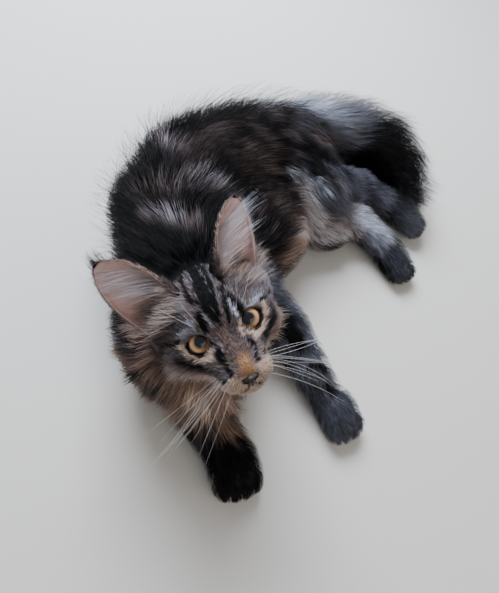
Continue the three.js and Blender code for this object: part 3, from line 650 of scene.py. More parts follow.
# Marks on the head, in the head's own axes
HEAD_MARKS = (
    ("black", 12, (-5, 37, -70), (3, 34, -56), (13, 32, -62)),
    ("black", 7, (2, 34, -38), (1, 32, -14), (-1, 26, -2)),
    ("grey", 7, (20, 26, -14), (21, 20, -6)),
    ("silver", 6, (43, 15, -29), (41, 8, -22), (30, 9, -8)),
    ("buff", 5, (27, 25, -28), (34, 24, -30)),
    ("grey", 7, (-28, 22, -23), (-25, 18, -9), (-22, 12, -2)),
    ("silver", 4, (-19, 30, -43), (-18, 28, -20), (-17, 25, -9)),
    ("ash", 6, (-38, 13, -22), (-41, 4, -22)),
    ("taupe", 6, (-2, 5, 9), (1, -4, 17), (2, -9, 22)),
    ("ash", 4, (5, 4, 7), (6, -1, 11)),
    ("grey", 4, (-36, -1, -10), (-32, -3, -3)),
    ("ash", 5, (-32, -8, -3), (-27, -13, 1), (-22, -18, 4)),
    ("ash", 5, (22, -13, 9), (30, -9, 2), (36, -4, -8)),
    ("grey", 4, (-19, -16, 11), (-14, -17, 19)),
    ("silver", 0.6, (-7, 33, -43), (-7, 32, -16), (-7, 28, -5), (-5, 23, 0), (-3, 17, 3)),
    ("silver", 0.6, (-4, 35, -50), (-4, 32, -18), (-3, 28, -6)),
    ("silver", 0.6, (4, 33, -50), (4, 33, -20), (3, 29, -6), (1, 24, 0)),
    ("silver", 0.7, (9, 31, -50), (8, 32, -15), (7, 27, -4), (4, 21, 1), (4, 14, 3)),
    ("silver", 0.8, (11, 33, -40), (14, 31, -28), (13, 28, -8)),
    ("silver", 0.8, (-8, 26, -3), (-9, 22, 0)),
    ("pearl", 1.3, (-8, 18, 1), (-7, 13, 3), (-5, 8, 4)),
    ("white", 1.1, (10, 19, 1), (10, 14, 2), (11, 7, 2)),
    ("silver", 1.6, (17, 15, -1), (19, 10, 0)),
    ("pearl", 1.5, (-17, 18, -3), (-17, 12, 0), (-17, 9, 1)),
    ("pearl", 1.2, (-27, 10, -5), (-22, 12, -2), (-17, 11, 0)),
    ("pearl", 1.6, (20, 9, 0), (25, 9, -3), (33, 6, -11)),
    ("silver", 1.6, (-28, 8, -4), (-20, 10, -1), (-14, 7, 2), (-10, 2, 4), (-7, -2, 9), (-7, -5, 13)),
    ("cream", 1.1, (14, 5, 2), (10, 0, 5), (9, -3, 9), (9, -6, 13)),
    ("cream", 2.2, (31, 3, -5), (31, -1, -3), (25, -6, 2), (20, -8, 7), (15, -8, 10)),
    ("cream", 1.9, (-29, 3, -3), (-28, -2, 0), (-25, -7, 2), (-20, -8, 7), (-14, -7, 10)),
    ("black", 1.9, (-9, 33, -40), (-11, 32, -20), (-11, 28, -7), (-10, 25, -4)),
    ("black", 1.8, (-8, 25, -3), (-5, 21, 1), (-3, 15, 3), (-1, 8, 5)),
    ("black", 2.4, (-10, 18, 1), (-11, 12, 2), (-11, 7, 3)),
    ("black", 2.0, (0, 29, -5), (1, 22, 1), (1, 14, 4)),
    ("black", 2.2, (11, 32, -26), (12, 30, -12), (13, 27, -6)),
    ("black", 1.6, (9, 27, -5), (8, 21, 1), (7, 14, 3), (5, 8, 5)),
    ("black", 1.3, (10, 26, -4), (12, 20, 0)),
    ("black", 2.2, (13, 18, 0), (15, 14, 0), (15, 7, 2)),
    ("black", 1.3, (-40, 2, -20), (-35, 4, -11), (-28, 6, -4)),
    ("black", 1.3, (40, 2, -20), (35, 4, -11), (30, 6, -6)),
    ("black", 2.8, (-42, -3, -22), (-46, -16, -36), (-45, -22, -37)),
    ("black", 2.8, (42, -3, -22), (46, -16, -36), (45, -22, -37)),
    ("black", 2.2, (-36, -6, -7), (-30, -11, -1), (-22, -14, 6)),
    ("black", 2.2, (36, -6, -7), (30, -11, -1), (22, -14, 6)),
    ("black", 3.0, (-12, -3, 6), (-11, -6, 10), (-10, -9, 14)),
    ("black", 1.7, (-10, -12, 17), (-10, -15, 21), (-8, -18, 26)),
    ("black", 1.6, (10, -5, 11), (12, -10, 13), (11, -14, 18), (9, -17, 25)),
    ("black", 1.2, (-19, -20, 17), (-14, -19, 23)),
    ("black", 1.2, (-18, -24, 18), (-13, -23, 23)),
    ("black", 1.0, (17, -17, 13), (15, -19, 21), (14, -22, 25)),
    ("tan", 4.8, (2, -11, 25), (1, -13, 27), (1, -17, 29)),
    ("cream", 4.5, (-10, -21, 27), (-5, -24, 28), (1, -26, 27)),
    ("cream", 3.5, (9, -19, 26), (12, -22, 26), (16, -20, 21)),
    ("cream", 3.5, (-17, -26, 17), (-12, -26, 23)),
    ("cream", 7, (0, -30, 18), (0, -36, 8)),
)


def chain_run(points, forms):
    """Millimetres along a chain of tapers, at the nearest of them."""
    lengths = np.array([np.linalg.norm(form.end - form.start) for form in forms])
    nearest = np.argmin([form.distance(points, 0) for form in forms], axis=0)
    t = np.stack([form.along(points) for form in forms])[nearest, np.arange(len(points))]
    return np.concatenate([[0], np.cumsum(lengths)])[nearest] + t * lengths[nearest]


def tapers(part):
    return [form for form in PARTS[part] if isinstance(form, Taper)]


def blend_in(shares, weight, pigment):
    for share, target in zip(shares, pigment):
        share += weight * (target - share)


def torso_shares(points, ripple):
    place_on = chain_run(points, tapers("torso")) / 290
    axis = np.stack([np.interp(place_on, TORSO_RUN, [s[i] for s in TORSO]) for i in range(3)], -1)
    ridge = unit(RIDGE_CHEST + (RIDGE_HIPS - RIDGE_CHEST) * place_on[:, None])
    side = (unit(points - axis) * ridge).sum(1) + 0.1 * ripple
    back = smooth(-0.8, -0.35, side)
    sheen = smooth(0.1, 1.2, ripple)
    return [0.14 + 0.86 * back - 0.1 * sheen, 0.7 - 0.2 * back, 0.4 * (1 - back)]


def neck_shares(points, ripple):
    _, y, z = in_head(points).T
    nape = smooth(-12, 18, y + 5 * ripple) * smooth(-25, -50, z)
    streak = smooth(-0.2, 0.9, ripple)
    return [np.maximum(nape, 0.2 + 0.4 * streak), 0.75 - 0.4 * nape, 0.22 * (1 - nape)]


def head_shares(points, ripple):
    _, y, z = in_head(points).T
    behind = smooth(-30, -52, z)
    low = smooth(-8, -26, y)
    tick = 0.5 + 0.5 * waves(points, 3.2, 31)
    return [
        np.clip(0.3 + 0.12 * ripple + 0.3 * tick + 0.6 * behind - 0.3 * low, 0, 1),
        0.45 + 0.3 * low + 0.1 * ripple,
        0.1 + 0.4 * low + 0.15 * tick,
    ]


def limb_shares(part, ring, ring_strength, dark, warm):
    def shares(points, ripple):
        run = chain_run(points, tapers(part))
        bars = np.sin(run * 2 * math.pi / ring + 0.8 * ripple)
        # Painted shade: the hair is darker where the surface faces down
        under = smooth(0.2, -0.5, outward(points)[:, 2])
        return [
            np.clip(dark + ring_strength * bars + 0.2 * under, 0, 1),
            np.full(len(points), warm),
            np.clip(0.1 - 0.1 * bars, 0, 1),
        ]

    return shares


def tail_shares(points, ripple):
    run = chain_run(points, tapers("tail"))
    tip = smooth(42, 118, run + 9 * ripple)
    rings = np.sin(run * 2 * math.pi / 40)
    # Painted shade: the hair is darker where the surface faces down
    under = smooth(0.5, -0.3, outward(points)[:, 2])
    return [
        np.clip(0.3 + 0.12 * rings + 0.8 * tip + 0.45 * under, 0, 1),
        np.full(len(points), 0.08),
        0.3 * (1 - tip),
    ]


PART_SHARES = {
    "torso": torso_shares,
    "neck": neck_shares,
    "head": head_shares,
    "foreleg_left": limb_shares("foreleg_left", 26, 0.16, 0.42, 0.0),
    "foreleg_right": limb_shares("foreleg_right", 26, 0.1, 0.86, 0.3),
    "hindleg_left": limb_shares("hindleg_left", 28, 0.12, 0.55, 0.0),
    "hindleg_right": limb_shares("hindleg_right", 28, 0.14, 0.62, 0.08),
    "tail": tail_shares,
}
TORSO_RUN = np.linspace(0, 1, len(TORSO))


def markings(points):
    ripple = 0.6 * waves(points, 38, 5) + 0.5 * waves(points, 16, 6)
    weights = np.exp(-part_distances(points) / 4)
    weights /= weights.sum(1, keepdims=True)
    shares = [np.zeros(len(points)) for _ in range(3)]
    for i, part in enumerate(PARTS):
        for share, value in zip(shares, PART_SHARES[part](points, ripple)):
            share += weights[:, i] * value
    warped = points + 2.5 * np.stack([waves(points, 14, 50 + i) for i in range(3)], -1)
    for pigment, radius, *line in BODY_MARKS:
        blend_in(shares, stroke(warped, line, radius, 0.55), PIGMENTS[pigment])
    face = in_head(points)
    face = face + 0.7 * np.stack([waves(points, 5, 60 + i) for i in range(3)], -1)
    for pigment, radius, *line in HEAD_MARKS:
        blend_in(shares, stroke(face, line, radius, 0.33), PIGMENTS[pigment])
    for side in (-1, 1):
        gap = eye_opening(points, side)
        drop = -((points - eye_centre(side)) @ eye_axes(side))[:, 1]
        below = smooth(-0.5, 3.5, drop) * (1 - smooth(2.4, 3.4, gap))
        blend_in(shares, below, PIGMENTS["cream"])
        blend_in(shares, 1 - smooth(0.1, 0.6, gap), PIGMENTS["black"])
    return [np.clip(share, 0, 1) for share in shares]


# Materials
def linear(colour):
    """An sRGB hex colour as linear RGBA."""
    parts = [int(colour[i : i + 2], 16) / 255 for i in (1, 3, 5)]
    return [c / 12.92 if c <= 0.04045 else ((c + 0.055) / 1.055) ** 2.4 for c in parts] + [1.0]


def add_node(tree, kind, inputs=None, **settings):
    made = tree.nodes.new(kind)
    for key, value in settings.items():
        setattr(made, key, value)
    for key, value in (inputs or {}).items():
        if isinstance(value, bpy.types.NodeSocket):
            tree.links.new(value, made.inputs[key])
        else:
            made.inputs[key].default_value = value
    return made


def new_material(name):
    material = bpy.data.materials.new(name)
    material.use_nodes = True
    tree = material.node_tree
    return material, tree, tree.nodes["Principled BSDF"]


MIX_FACTOR, MIX_A, MIX_B, MIX_RESULT = 0, 6, 7, 2


def coat_material(name, shades):
    """Hair of four pigments, darkened towards the root by painted shade and brightened at its end by a
    painted highlight.
    """
    material, tree, shader = new_material(name)
    share = {
        key: add_node(tree, "ShaderNodeAttribute", attribute_name=key).outputs["Fac"]
        for key in ("dark", "warm", "pale", "tone", "along")
    }
    place_node = add_node(tree, "ShaderNodeTexCoord")
    grain = add_node(tree, "ShaderNodeTexNoise", {
        "Vector": place_node.outputs["Object"], "Scale": 140.0, "Detail": 2.0})
    light_hair = add_node(tree, "ShaderNodeMix", {
        MIX_FACTOR: share["warm"], MIX_A: linear(WHITE), MIX_B: linear(CREAM)}, data_type="RGBA")
    colour = linear(SILVER)
    pigments = {"warm": linear(BUFF), "pale": light_hair.outputs[MIX_RESULT], "dark": linear(BLACK)}
    for key, shade in pigments.items():
        rough_edge = add_node(tree, "ShaderNodeMath", {
            0: grain.outputs["Fac"], 1: 0.5, 2: share[key]}, operation="MULTIPLY_ADD")
        factor = add_node(tree, "ShaderNodeMapRange", {
            "Value": rough_edge.outputs[0], "From Min": 0.25, "From Max": 1.17})
        mixed = add_node(tree, "ShaderNodeMix", {
            MIX_FACTOR: factor.outputs[0], MIX_A: colour, MIX_B: shade},
            data_type="RGBA")
        colour = mixed.outputs[MIX_RESULT]
    # Painted shade and highlight along each strand: dark at the root, brighter than its pigment at the
    # tip
    ramp = add_node(tree, "ShaderNodeValToRGB", {"Fac": share["along"]})
    ramp.color_ramp.elements[0].color = [shades[0]] * 3 + [1]
    ramp.color_ramp.elements[1].color = [shades[2]] * 3 + [1]
    ramp.color_ramp.elements.new(0.45).color = [shades[1]] * 3 + [1]
    tone = add_node(tree, "ShaderNodeMapRange", {"Value": share["tone"], "To Min": 0.8, "To Max": 1.22})
    light = add_node(tree, "ShaderNodeVectorMath", {
        0: ramp.outputs["Color"], "Scale": tone.outputs[0]}, operation="SCALE")
    shaded = add_node(tree, "ShaderNodeMix", {
        MIX_FACTOR: 1.0, MIX_A: colour, MIX_B: light.outputs[0]},
        data_type="RGBA", blend_type="MULTIPLY")
    tree.links.new(shaded.outputs[MIX_RESULT], shader.inputs["Base Color"])
    shader.inputs["Roughness"].default_value = 0.68
    shader.inputs["IOR"].default_value = 1.55
    shader.inputs["Specular IOR Level"].default_value = 0.14
    return material


# Silver and white hair are tinted blue: partly their own cool colour, partly a painted sheen of the blue
# window light
SILVER = "#7f8396"
BUFF = "#a4734c"
WHITE = "#dde6f8"
CREAM = "#eccdb2"
BLACK = "#09090b"
ROOT_SHADE_TIP_HIGHLIGHT = (0.45, 0.85, 1.12)  # painted shade and highlight: how bright a hair is at its root, middle and tip
coats = {
    name: coat_material(name, ROOT_SHADE_TIP_HIGHLIGHT)
    for name in ("Body guard hair", "Face hair", "Ruff hair", "Leg hair", "Tail plume hair")
}


# Strands: each root point becomes one closed, tapered, three-sided strand along its own course
COURSES = ("course_1", "course_2", "course_3")
GUIDES = (*COURSES, "side", "lift")


def strand_tree():
    tree = bpy.data.node_groups.new("Strands of hair", "GeometryNodeTree")
    sockets = (
        ("Roots", "Geometry", None),
        ("Joints along a strand", "Int", 3),
        ("Flatness", "Float", 0.4),
        ("Width at the root", "Float", 0.6),
        ("Bake patch", "Float", 0.003),
        ("Seed", "Int", 11),
        ("Hair", "Material", None),
    )
    for name, kind, value in sockets:
        socket = tree.interface.new_socket(name, in_out="INPUT", socket_type="NodeSocket" + kind)
        if value is not None:
            socket.default_value = value
    tree.interface.new_socket("Coat", in_out="OUTPUT", socket_type="NodeSocketGeometry")
    given = add_node(tree, "NodeGroupInput").outputs
    named = {}
    kinds = dict.fromkeys((*GUIDES, "root", "rim", "patch_place"), "FLOAT_VECTOR")
    kinds |= dict.fromkeys(("half_width", "along"), "FLOAT")
    for key, kind in kinds.items():
        node = add_node(tree, "GeometryNodeInputNamedAttribute", {"Name": key}, data_type=kind)
        named[key] = node.outputs["Attribute"]
    where = add_node(tree, "GeometryNodeInputPosition").outputs[0]

    # One strand stands on its three-cornered root, one unit high
    cone = add_node(tree, "GeometryNodeMeshCone", {
        "Vertices": 3, "Side Segments": given["Joints along a strand"], "Fill Segments": 1,
        "Radius Top": 0.0, "Radius Bottom": 1.0, "Depth": 1.0}, fill_type="NGON")
    split = add_node(tree, "ShaderNodeSeparateXYZ", {0: where})
    flat = add_node(tree, "ShaderNodeCombineXYZ", {0: split.outputs[0], 1: split.outputs[1]})
    rim = add_node(tree, "ShaderNodeVectorMath", {0: flat.outputs[0]}, operation="NORMALIZE")
    strand = add_node(tree, "GeometryNodeStoreNamedAttribute", {
        "Geometry": cone.outputs["Mesh"], "Name": "along", "Value": split.outputs[2]}, data_type="FLOAT")
    strand = add_node(tree, "GeometryNodeStoreNamedAttribute", {
        "Geometry": strand.outputs[0], "Name": "rim", "Value": rim.outputs[0]}, data_type="FLOAT_VECTOR")

    # Every root keeps its place and a tone of its own, and takes a strand
    roots = add_node(tree, "GeometryNodeStoreNamedAttribute", {
        "Geometry": given["Roots"], "Name": "root", "Value": where}, data_type="FLOAT_VECTOR")
    chance = add_node(tree, "FunctionNodeRandomValue", {"Seed": given["Seed"]}, data_type="FLOAT")
    roots = add_node(tree, "GeometryNodeStoreNamedAttribute", {
        "Geometry": roots.outputs[0], "Name": "tone", "Value": chance.outputs[1]}, data_type="FLOAT")
    placed = add_node(tree, "GeometryNodeInstanceOnPoints", {
        "Points": roots.outputs[0], "Instance": strand.outputs[0]})
    coat = add_node(tree, "GeometryNodeRealizeInstances", {0: placed.outputs[0]}).outputs[0]

    # The strand's middle line runs along its course, and its corners stand off it
    line = named["course_3"]
    for key in ("course_2", "course_1", "root"):
        line = add_node(tree, "ShaderNodeVectorMath", {
            0: named["along"], 1: line, 2: named[key]}, operation="MULTIPLY_ADD").outputs[0]
    rest = add_node(tree, "ShaderNodeMath", {0: 1.0, 1: named["along"]}, operation="SUBTRACT")
    taper = add_node(tree, "ShaderNodeMath", {0: rest.outputs[0], 1: 0.5}, operation="POWER")
    belly = add_node(tree, "ShaderNodeMath", {
        0: named["along"], 1: 0.8, 2: given["Width at the root"]}, operation="MULTIPLY_ADD")
    swell = add_node(tree, "ShaderNodeMath", {
        0: taper.outputs[0], 1: belly.outputs[0]}, operation="MULTIPLY")
    width = add_node(tree, "ShaderNodeMath", {
        0: swell.outputs[0], 1: named["half_width"]}, operation="MULTIPLY")
    corner = add_node(tree, "ShaderNodeSeparateXYZ", {0: named["rim"]})
    across = add_node(tree, "ShaderNodeMath", {
        0: corner.outputs[0], 1: width.outputs[0]}, operation="MULTIPLY")
    thin = add_node(tree, "ShaderNodeMath", {
        0: corner.outputs[1], 1: given["Flatness"]}, operation="MULTIPLY")
    thick = add_node(tree, "ShaderNodeMath", {
        0: thin.outputs[0], 1: width.outputs[0]}, operation="MULTIPLY")
    for key, by in (("side", across), ("lift", thick)):
        line = add_node(tree, "ShaderNodeVectorMath", {
            0: named[key], 1: by.outputs[0], 2: line}, operation="MULTIPLY_ADD").outputs[0]
    coat = add_node(tree, "GeometryNodeSetPosition", {"Geometry": coat, "Position": line}).outputs[0]

    # Each strand's bake patch lies round its root's place on the unwrapped skin
    off_centre = add_node(tree, "ShaderNodeMath", {0: named["along"], 1: 0.5}, operation="SUBTRACT")
    patch = add_node(tree, "ShaderNodeCombineXYZ", {0: corner.outputs[0], 1: off_centre.outputs[0]})
    half = add_node(tree, "ShaderNodeMath", {0: given["Bake patch"], 1: 0.5}, operation="MULTIPLY")
    unwrapped = add_node(tree, "ShaderNodeVectorMath", {
        0: patch.outputs[0], 1: half.outputs[0], 2: named["patch_place"]}, operation="MULTIPLY_ADD")
    coat = add_node(tree, "GeometryNodeStoreNamedAttribute", {
        "Geometry": coat, "Name": "OFBake", "Value": unwrapped.outputs[0]},
        data_type="FLOAT2", domain="CORNER").outputs[0]
    for key in (*GUIDES, "root", "rim", "patch_place", "half_width"):
        coat = add_node(tree, "GeometryNodeRemoveAttribute", {"Geometry": coat, "Name": key}).outputs[0]
    coat = add_node(tree, "GeometryNodeSetShadeSmooth", {"Geometry": coat}).outputs[0]
    coat = add_node(tree, "GeometryNodeSetMaterial", {"Geometry": coat, "Material": given["Hair"]})
    end = add_node(tree, "NodeGroupOutput")
    tree.links.new(coat.outputs[0], end.inputs[0])
    return tree


STRANDS = strand_tree()
pieces = []


def grow(name, path, half_width, patch_place, shares, material, body_slot,
         joints=3, flatness=0.4, root_width=0.6):
    """Strands as one plain mesh: each is a cubic through four points of its path in millimetres."""
    path = within_reach(path)
    q0, q2, q4, q6 = (path[:, k] for k in (0, JOINTS // 3, 2 * JOINTS // 3, JOINTS))
    b1 = (-5 * q0 + 18 * q2 - 9 * q4 + 2 * q6) / 6
    b2 = (2 * q0 - 9 * q2 + 18 * q4 - 5 * q6) / 6
    course_1, course_2 = 3 * (b1 - q0), 3 * (q0 - 2 * b1 + b2)
    course_3 = q6 - 3 * b2 + 3 * b1 - q0
    run = unit(q6 - q0)
    _, normal = body_map.read(q4)
    side = unit(np.cross(run, normal) + 0.35 * rng.normal(size=run.shape))
    side = unit(side - (side * run).sum(1, keepdims=True) * run)
    mesh = bpy.data.meshes.new(name)
    mesh.from_pydata(place(q0).tolist(), [], [])
    for key, value in (
        ("course_1", course_1 * MM), ("course_2", course_2 * MM), ("course_3", course_3 * MM),
        ("side", side), ("lift", np.cross(side, run)), ("half_width", half_width * MM),
        ("patch_place", np.column_stack([patch_place, np.zeros(len(path))])),
        ("dark", shares[0]), ("warm", shares[1]), ("pale", shares[2]),
    ):
        add_attribute(mesh, key, value)
    seeds = bpy.data.objects.new(name + "_roots", mesh)
    bpy.context.scene.collection.objects.link(seeds)
    modifier = seeds.modifiers.new("Strands", "NODES")
    modifier.node_group = STRANDS
    values = {"Joints along a strand": joints, "Flatness": flatness, "Width at the root": root_width,
              "Hair": material, "Seed": len(pieces)}
    for socket in STRANDS.interface.items_tree:
        if socket.name in values:
            modifier[socket.identifier] = values[socket.name]
    seeds.update_tag()
    bpy.context.view_layer.update()
    evaluated = seeds.evaluated_get(bpy.context.evaluated_depsgraph_get())
    grown = bpy.data.meshes.new_from_object(evaluated)
    grown.name = name
    piece = bpy.data.objects.new(name, grown)
    bpy.context.scene.collection.objects.link(piece)
    bpy.data.objects.remove(seeds)
    pieces.append((piece, body_slot, ()))
    return piece


# Unwraps of the skin's own shape, one for each stretch of the coat
LONGEST_TAPER = 120  # mm
SEAM_WAY = (0.31, 0.2, 0.93)  # where each unwrap is cut, along no limb


def unwrap_round(points, forms):
    """Angle round a limb against the way along it."""
    nearest = np.argmin([form.distance(points, 0) for form in forms], axis=0)
    starts = np.array([form.start for form in forms])
    turned = np.array([form.lie(points[:1])[0] for form in forms])[nearest]
    offset = points - starts[nearest]
    along = (nearest + np.clip((offset * turned).sum(1) / LONGEST_TAPER, 0, 0.99)) / len(forms)
    across = unit(np.cross(turned, SEAM_WAY))
    third = np.cross(turned, across)
    angle = np.arctan2((offset * third).sum(1), (offset * across).sum(1)) / (2 * math.pi) + 0.5
    return np.column_stack([0.02 + 0.96 * angle, 0.02 + 0.96 * along])


def unwrap_head(points):
    """The head seen outward from its own middle, laid flat round the nose."""
    local = unit(in_head(points) - (0, -4, -22))
    angle = np.arccos(np.clip(local[:, 2], -1, 1)) / math.pi
    around = np.arctan2(local[:, 1], local[:, 0])
    return 0.5 + 0.48 * angle[:, None] * np.column_stack([np.cos(around), np.sin(around)])


# Fur: part, piece, hairs, joints of a hair, half width in mm, length and height in shares of
# the coat's depth, hairs in a lock, and how far they lean together
FUR = (
    ("torso", "fur_back", 38000, 2, 0.27, 2.3, 1.3, 30, 0.3),
    ("neck", "fur_ruff", 15000, 2, 0.28, 2.2, 1.15, 30, 0.45),
    ("head", "fur_face", 34000, 2, 0.17, 2.1, 0.75, 6, 0.15),
    ("foreleg_left", "fur_foreleg_left", 8500, 2, 0.25, 1.9, 1.0, 14, 0.3),
    ("foreleg_right", "fur_foreleg_right", 8500, 2, 0.25, 2.5, 1.2, 14, 0.4),
    ("hindleg_left", "fur_hindleg_left", 8500, 2, 0.26, 1.9, 1.0, 14, 0.3),
    ("hindleg_right", "fur_hindleg_right", 8500, 2, 0.26, 1.9, 1.0, 14, 0.3),
    ("tail", "fur_tail", 14000, 2, 0.28, 2.0, 1.3, 30, 0.35),
)
PART_LOOK = {
    "torso": ("Body guard hair", "coat_dark"),
    "neck": ("Ruff hair", "coat_ruff"),
    "head": ("Face hair", "coat_face"),
    "tail": ("Tail plume hair", "coat_tail"),
}
LEG_LOOK = ("Leg hair", "coat_legs")
PIECE_TRIANGLES = 190000
WISPS = 1500
WISP_HALF_WIDTH = 0.18
CHEEK_HAIRS = 2400
CHEEK_HALF_WIDTH = 0.15


def grow_fur():
    for part, name, count, joints, half_width, long, high, spacing, strength in FUR:
        density = (hide.part == PART_NUMBER[part]).astype(float)
        chart = body_map
        if part == "head":
            chart = head_map
            for side in (-1, 1):
                density *= eye_opening(hide.centres, side) > 0.9
        roots = hide.roots(count, density)
        if part in ("torso", "neck"):
            roots = roots[np.argsort(roots @ (0.1, 1.0, 0.0))]
        depth = coat_depth(roots)
        varied = rng.uniform(0.7, 1.2, count)
        length, height = long * depth * varied, high * depth * rng.uniform(0.3, 1.1, count)
        if part == "head":
            jaw = smooth(-7, -22, in_head(roots)[:, 1]) * smooth(14, -4, in_head(roots)[:, 2])
            length, height = length * (1 + 1.5 * jaw), height * (1 + 0.9 * jaw)
        heading = unit(flow(roots)) + 0.1 * rng.normal(size=(count, 3))
        heading += 0.22 * np.stack([waves(roots, 52, 40 + i) for i in range(3)], -1)
        path = comb(roots, heading, length, height, chart)
        path = gather(path, roots, spacing, strength)
        if part == "head":
            patch_place = unwrap_head(roots)
        else:
            patch_place = unwrap_round(roots, tapers(part))
        shares = markings(0.45 * roots + 0.55 * path[:, 4])
        mixed = shares[0] * (1 - shares[0])
        shares[0] = np.clip(shares[0] + 0.35 * mixed * rng.normal(size=count), 0, 1)
        widths = half_width * rng.uniform(0.7, 1.25, count)
        material, body_slot = PART_LOOK.get(part, LEG_LOOK)
        each = 6 * (joints - 1) + 4
        runs = math.ceil(count * each / PIECE_TRIANGLES)
        for i, chosen in enumerate(np.array_split(np.arange(count), runs)):
            piece_name = f"{name}_{i + 1}" if runs > 1 else name
            grow(piece_name, path[chosen], widths[chosen], patch_place[chosen],
                 [share[chosen] for share in shares], coats[material], body_slot, joints)


FLESH_NODES = (
    "torso", "neck", "head", "foreleg_left", "foreleg_right", "hindleg_left", "hindleg_right",
    "tail_base", "tail_middle", "tail_tip",
)


def add_skin():
    """The skin under the coat, with the coat's own markings."""
    skin = add_mesh("skin", place(skin_points), skin_quads, coats["Body guard hair"])
    half_up = skin_points + 0.5 * coat_depth(skin_points)[:, None] * outward(skin_points)
    for key, value in zip(("dark", "warm", "pale"), markings(half_up)):
        add_attribute(skin.data, key, value)
    # Painted shade: the skin takes the dark root end of the hair's brightness ramp, as if shaded deep in
    # the coat
    add_attribute(skin.data, "along", np.full(len(skin_points), 0.1))
    add_attribute(skin.data, "tone", 0.5 + 0.3 * waves(skin_points, 4, 9))
    pieces.append((skin, "coat_dark", FLESH_NODES))


def straight_paths(roots, ways, lengths, bend):
    """Free hairs: each leaves along its way and bends over by the end."""
    t = (np.arange(JOINTS + 1) / JOINTS)[None, :, None]
    lengths = np.asarray(lengths)[:, None, None]
    return roots[:, None] + ways[:, None] * lengths * t + bend[:, None] * lengths * t * t


def grow_wisps():
    """Long fine hairs that stand clear of the back."""
    ridge = smooth(0.1, 0.8, (outward(hide.centres) * unit(np.array([-0.6, 0.5, 0.5]))).sum(1))
    roots = hide.roots(WISPS, ridge * (hide.part == PART_NUMBER["torso"]))
    depth = coat_depth(roots)
    heading = unit(flow(roots)) + 0.25 * rng.normal(size=(WISPS, 3))
    length, height = depth * rng.uniform(3.0, 4.6, WISPS), depth * rng.uniform(1.4, 2.5, WISPS)
    path = comb(roots, heading, length, height, body_map, 0.1)
    patch_place = unwrap_round(roots, tapers("torso"))
    shares = [np.full(WISPS, share) for share in PIGMENTS["black"]]
    grow("fur_back_wisps", path, np.full(WISPS, WISP_HALF_WIDTH), patch_place, shares,
         coats["Body guard hair"], "coat_dark", joints=4)


def grow_cheek_ruff():
    """Free hairs that fall from the cheeks and chin over the ruff."""
    _, y, z = in_head(hide.centres).T
    edge = smooth(-9, -17, y) * smooth(6, -8, z) * smooth(-48, -36, z)
    roots = hide.roots(CHEEK_HAIRS, edge * (hide.part == PART_NUMBER["head"]))
    ways = unit(unit(flow(roots)) + 0.45 * outward(roots) + 0.22 * rng.normal(size=roots.shape))
    bend = np.broadcast_to(0.35 * DOWN, roots.shape)
    path = straight_paths(roots - outward(roots), ways, rng.uniform(9, 24, CHEEK_HAIRS), bend)
    path = gather(path, roots, 14, 0.4)
    shares = markings(roots)
    shares[0] = shares[0] * rng.uniform(0.2, 1.1, CHEEK_HAIRS)
    shares[2] = np.clip(shares[2] + 0.25, 0, 1)
    grow("fur_cheeks", path, np.full(CHEEK_HAIRS, CHEEK_HALF_WIDTH), unwrap_head(roots), shares,
         coats["Face hair"], "coat_face", joints=3)


add_skin()
grow_fur()
grow_wisps()
grow_cheek_ruff()


# Eyes, lids, nose and mouth
def loft(rings, looped=False):
    """Closed mesh through rings of points, turned so that its faces look outward."""
    rings = np.asarray(rings, float)
    count, sides = rings.shape[:2]
    index = np.arange(count * sides).reshape(count, sides)
    if looped:
        index = np.vstack([index, index[:1]])
    here, after = index[:-1], index[1:]
    quads = np.stack([here, np.roll(here, -1, 1), np.roll(after, -1, 1), after], -1).reshape(-1, 4)
    faces = quads.tolist()
    if not looped:
        faces += [index[0, ::-1].tolist(), index[-1].tolist()]
    points = rings.reshape(-1, 3)
    a, b, c = (points[quads[:, k]] - points.mean(0) for k in (0, 1, 2))
    if (a * np.cross(b, c)).sum() < 0:
        faces = [face[::-1] for face in faces]
    return points, faces


def tube(line, radii, sides=8, looped=False):
    line = np.asarray(line, float)
    radii = np.broadcast_to(radii, len(line))
    run = np.roll(line, -1, 0) - np.roll(line, 1, 0) if looped else np.gradient(line, axis=0)
    run = unit(run)
    guide = unit(line.mean(0) - HEAD_CENTRE + 0.01)
    across = unit(np.cross(run, guide))
    up = np.cross(across, run)
    turns = np.arange(sides) * 2 * math.pi / sides
    rings = line[:, None] + radii[:, None, None] * (
        np.cos(turns)[None, :, None] * across[:, None] + np.sin(turns)[None, :, None] * up[:, None])
    return loft(rings, looped)


def joined(parts):
    points, faces, base = [], [], 0
    for here, there in parts:
        points.append(here)
        faces += [[i + base for i in face] for face in there]
        base += len(here)
    return np.vstack(points), faces


CAMERA_PLACE = np.array([0, 0, CAMERA_HEIGHT])


def camera_axes():
    """The camera's right, up and ahead."""
    down, roll = math.radians(CAMERA_DOWN), math.radians(CAMERA_ROLL)
    ahead = np.array([0, math.cos(down), -math.sin(down)])
    level_up = np.array([0, math.sin(down), math.cos(down)])
    right = math.cos(roll) * np.array([1.0, 0, 0]) + math.sin(roll) * level_up
    return right, np.cross(right, ahead), ahead


def gaze_axes(side):
    right, up = camera_axes()[:2]
    across, above = LOOKS_AT[side]
    gaze = unit(CAMERA_PLACE + across * right + above * up - eye_centre(side))
    across = unit(np.cross(HEAD[:, 1], gaze))
    return np.stack([across, np.cross(gaze, across), gaze], 1)


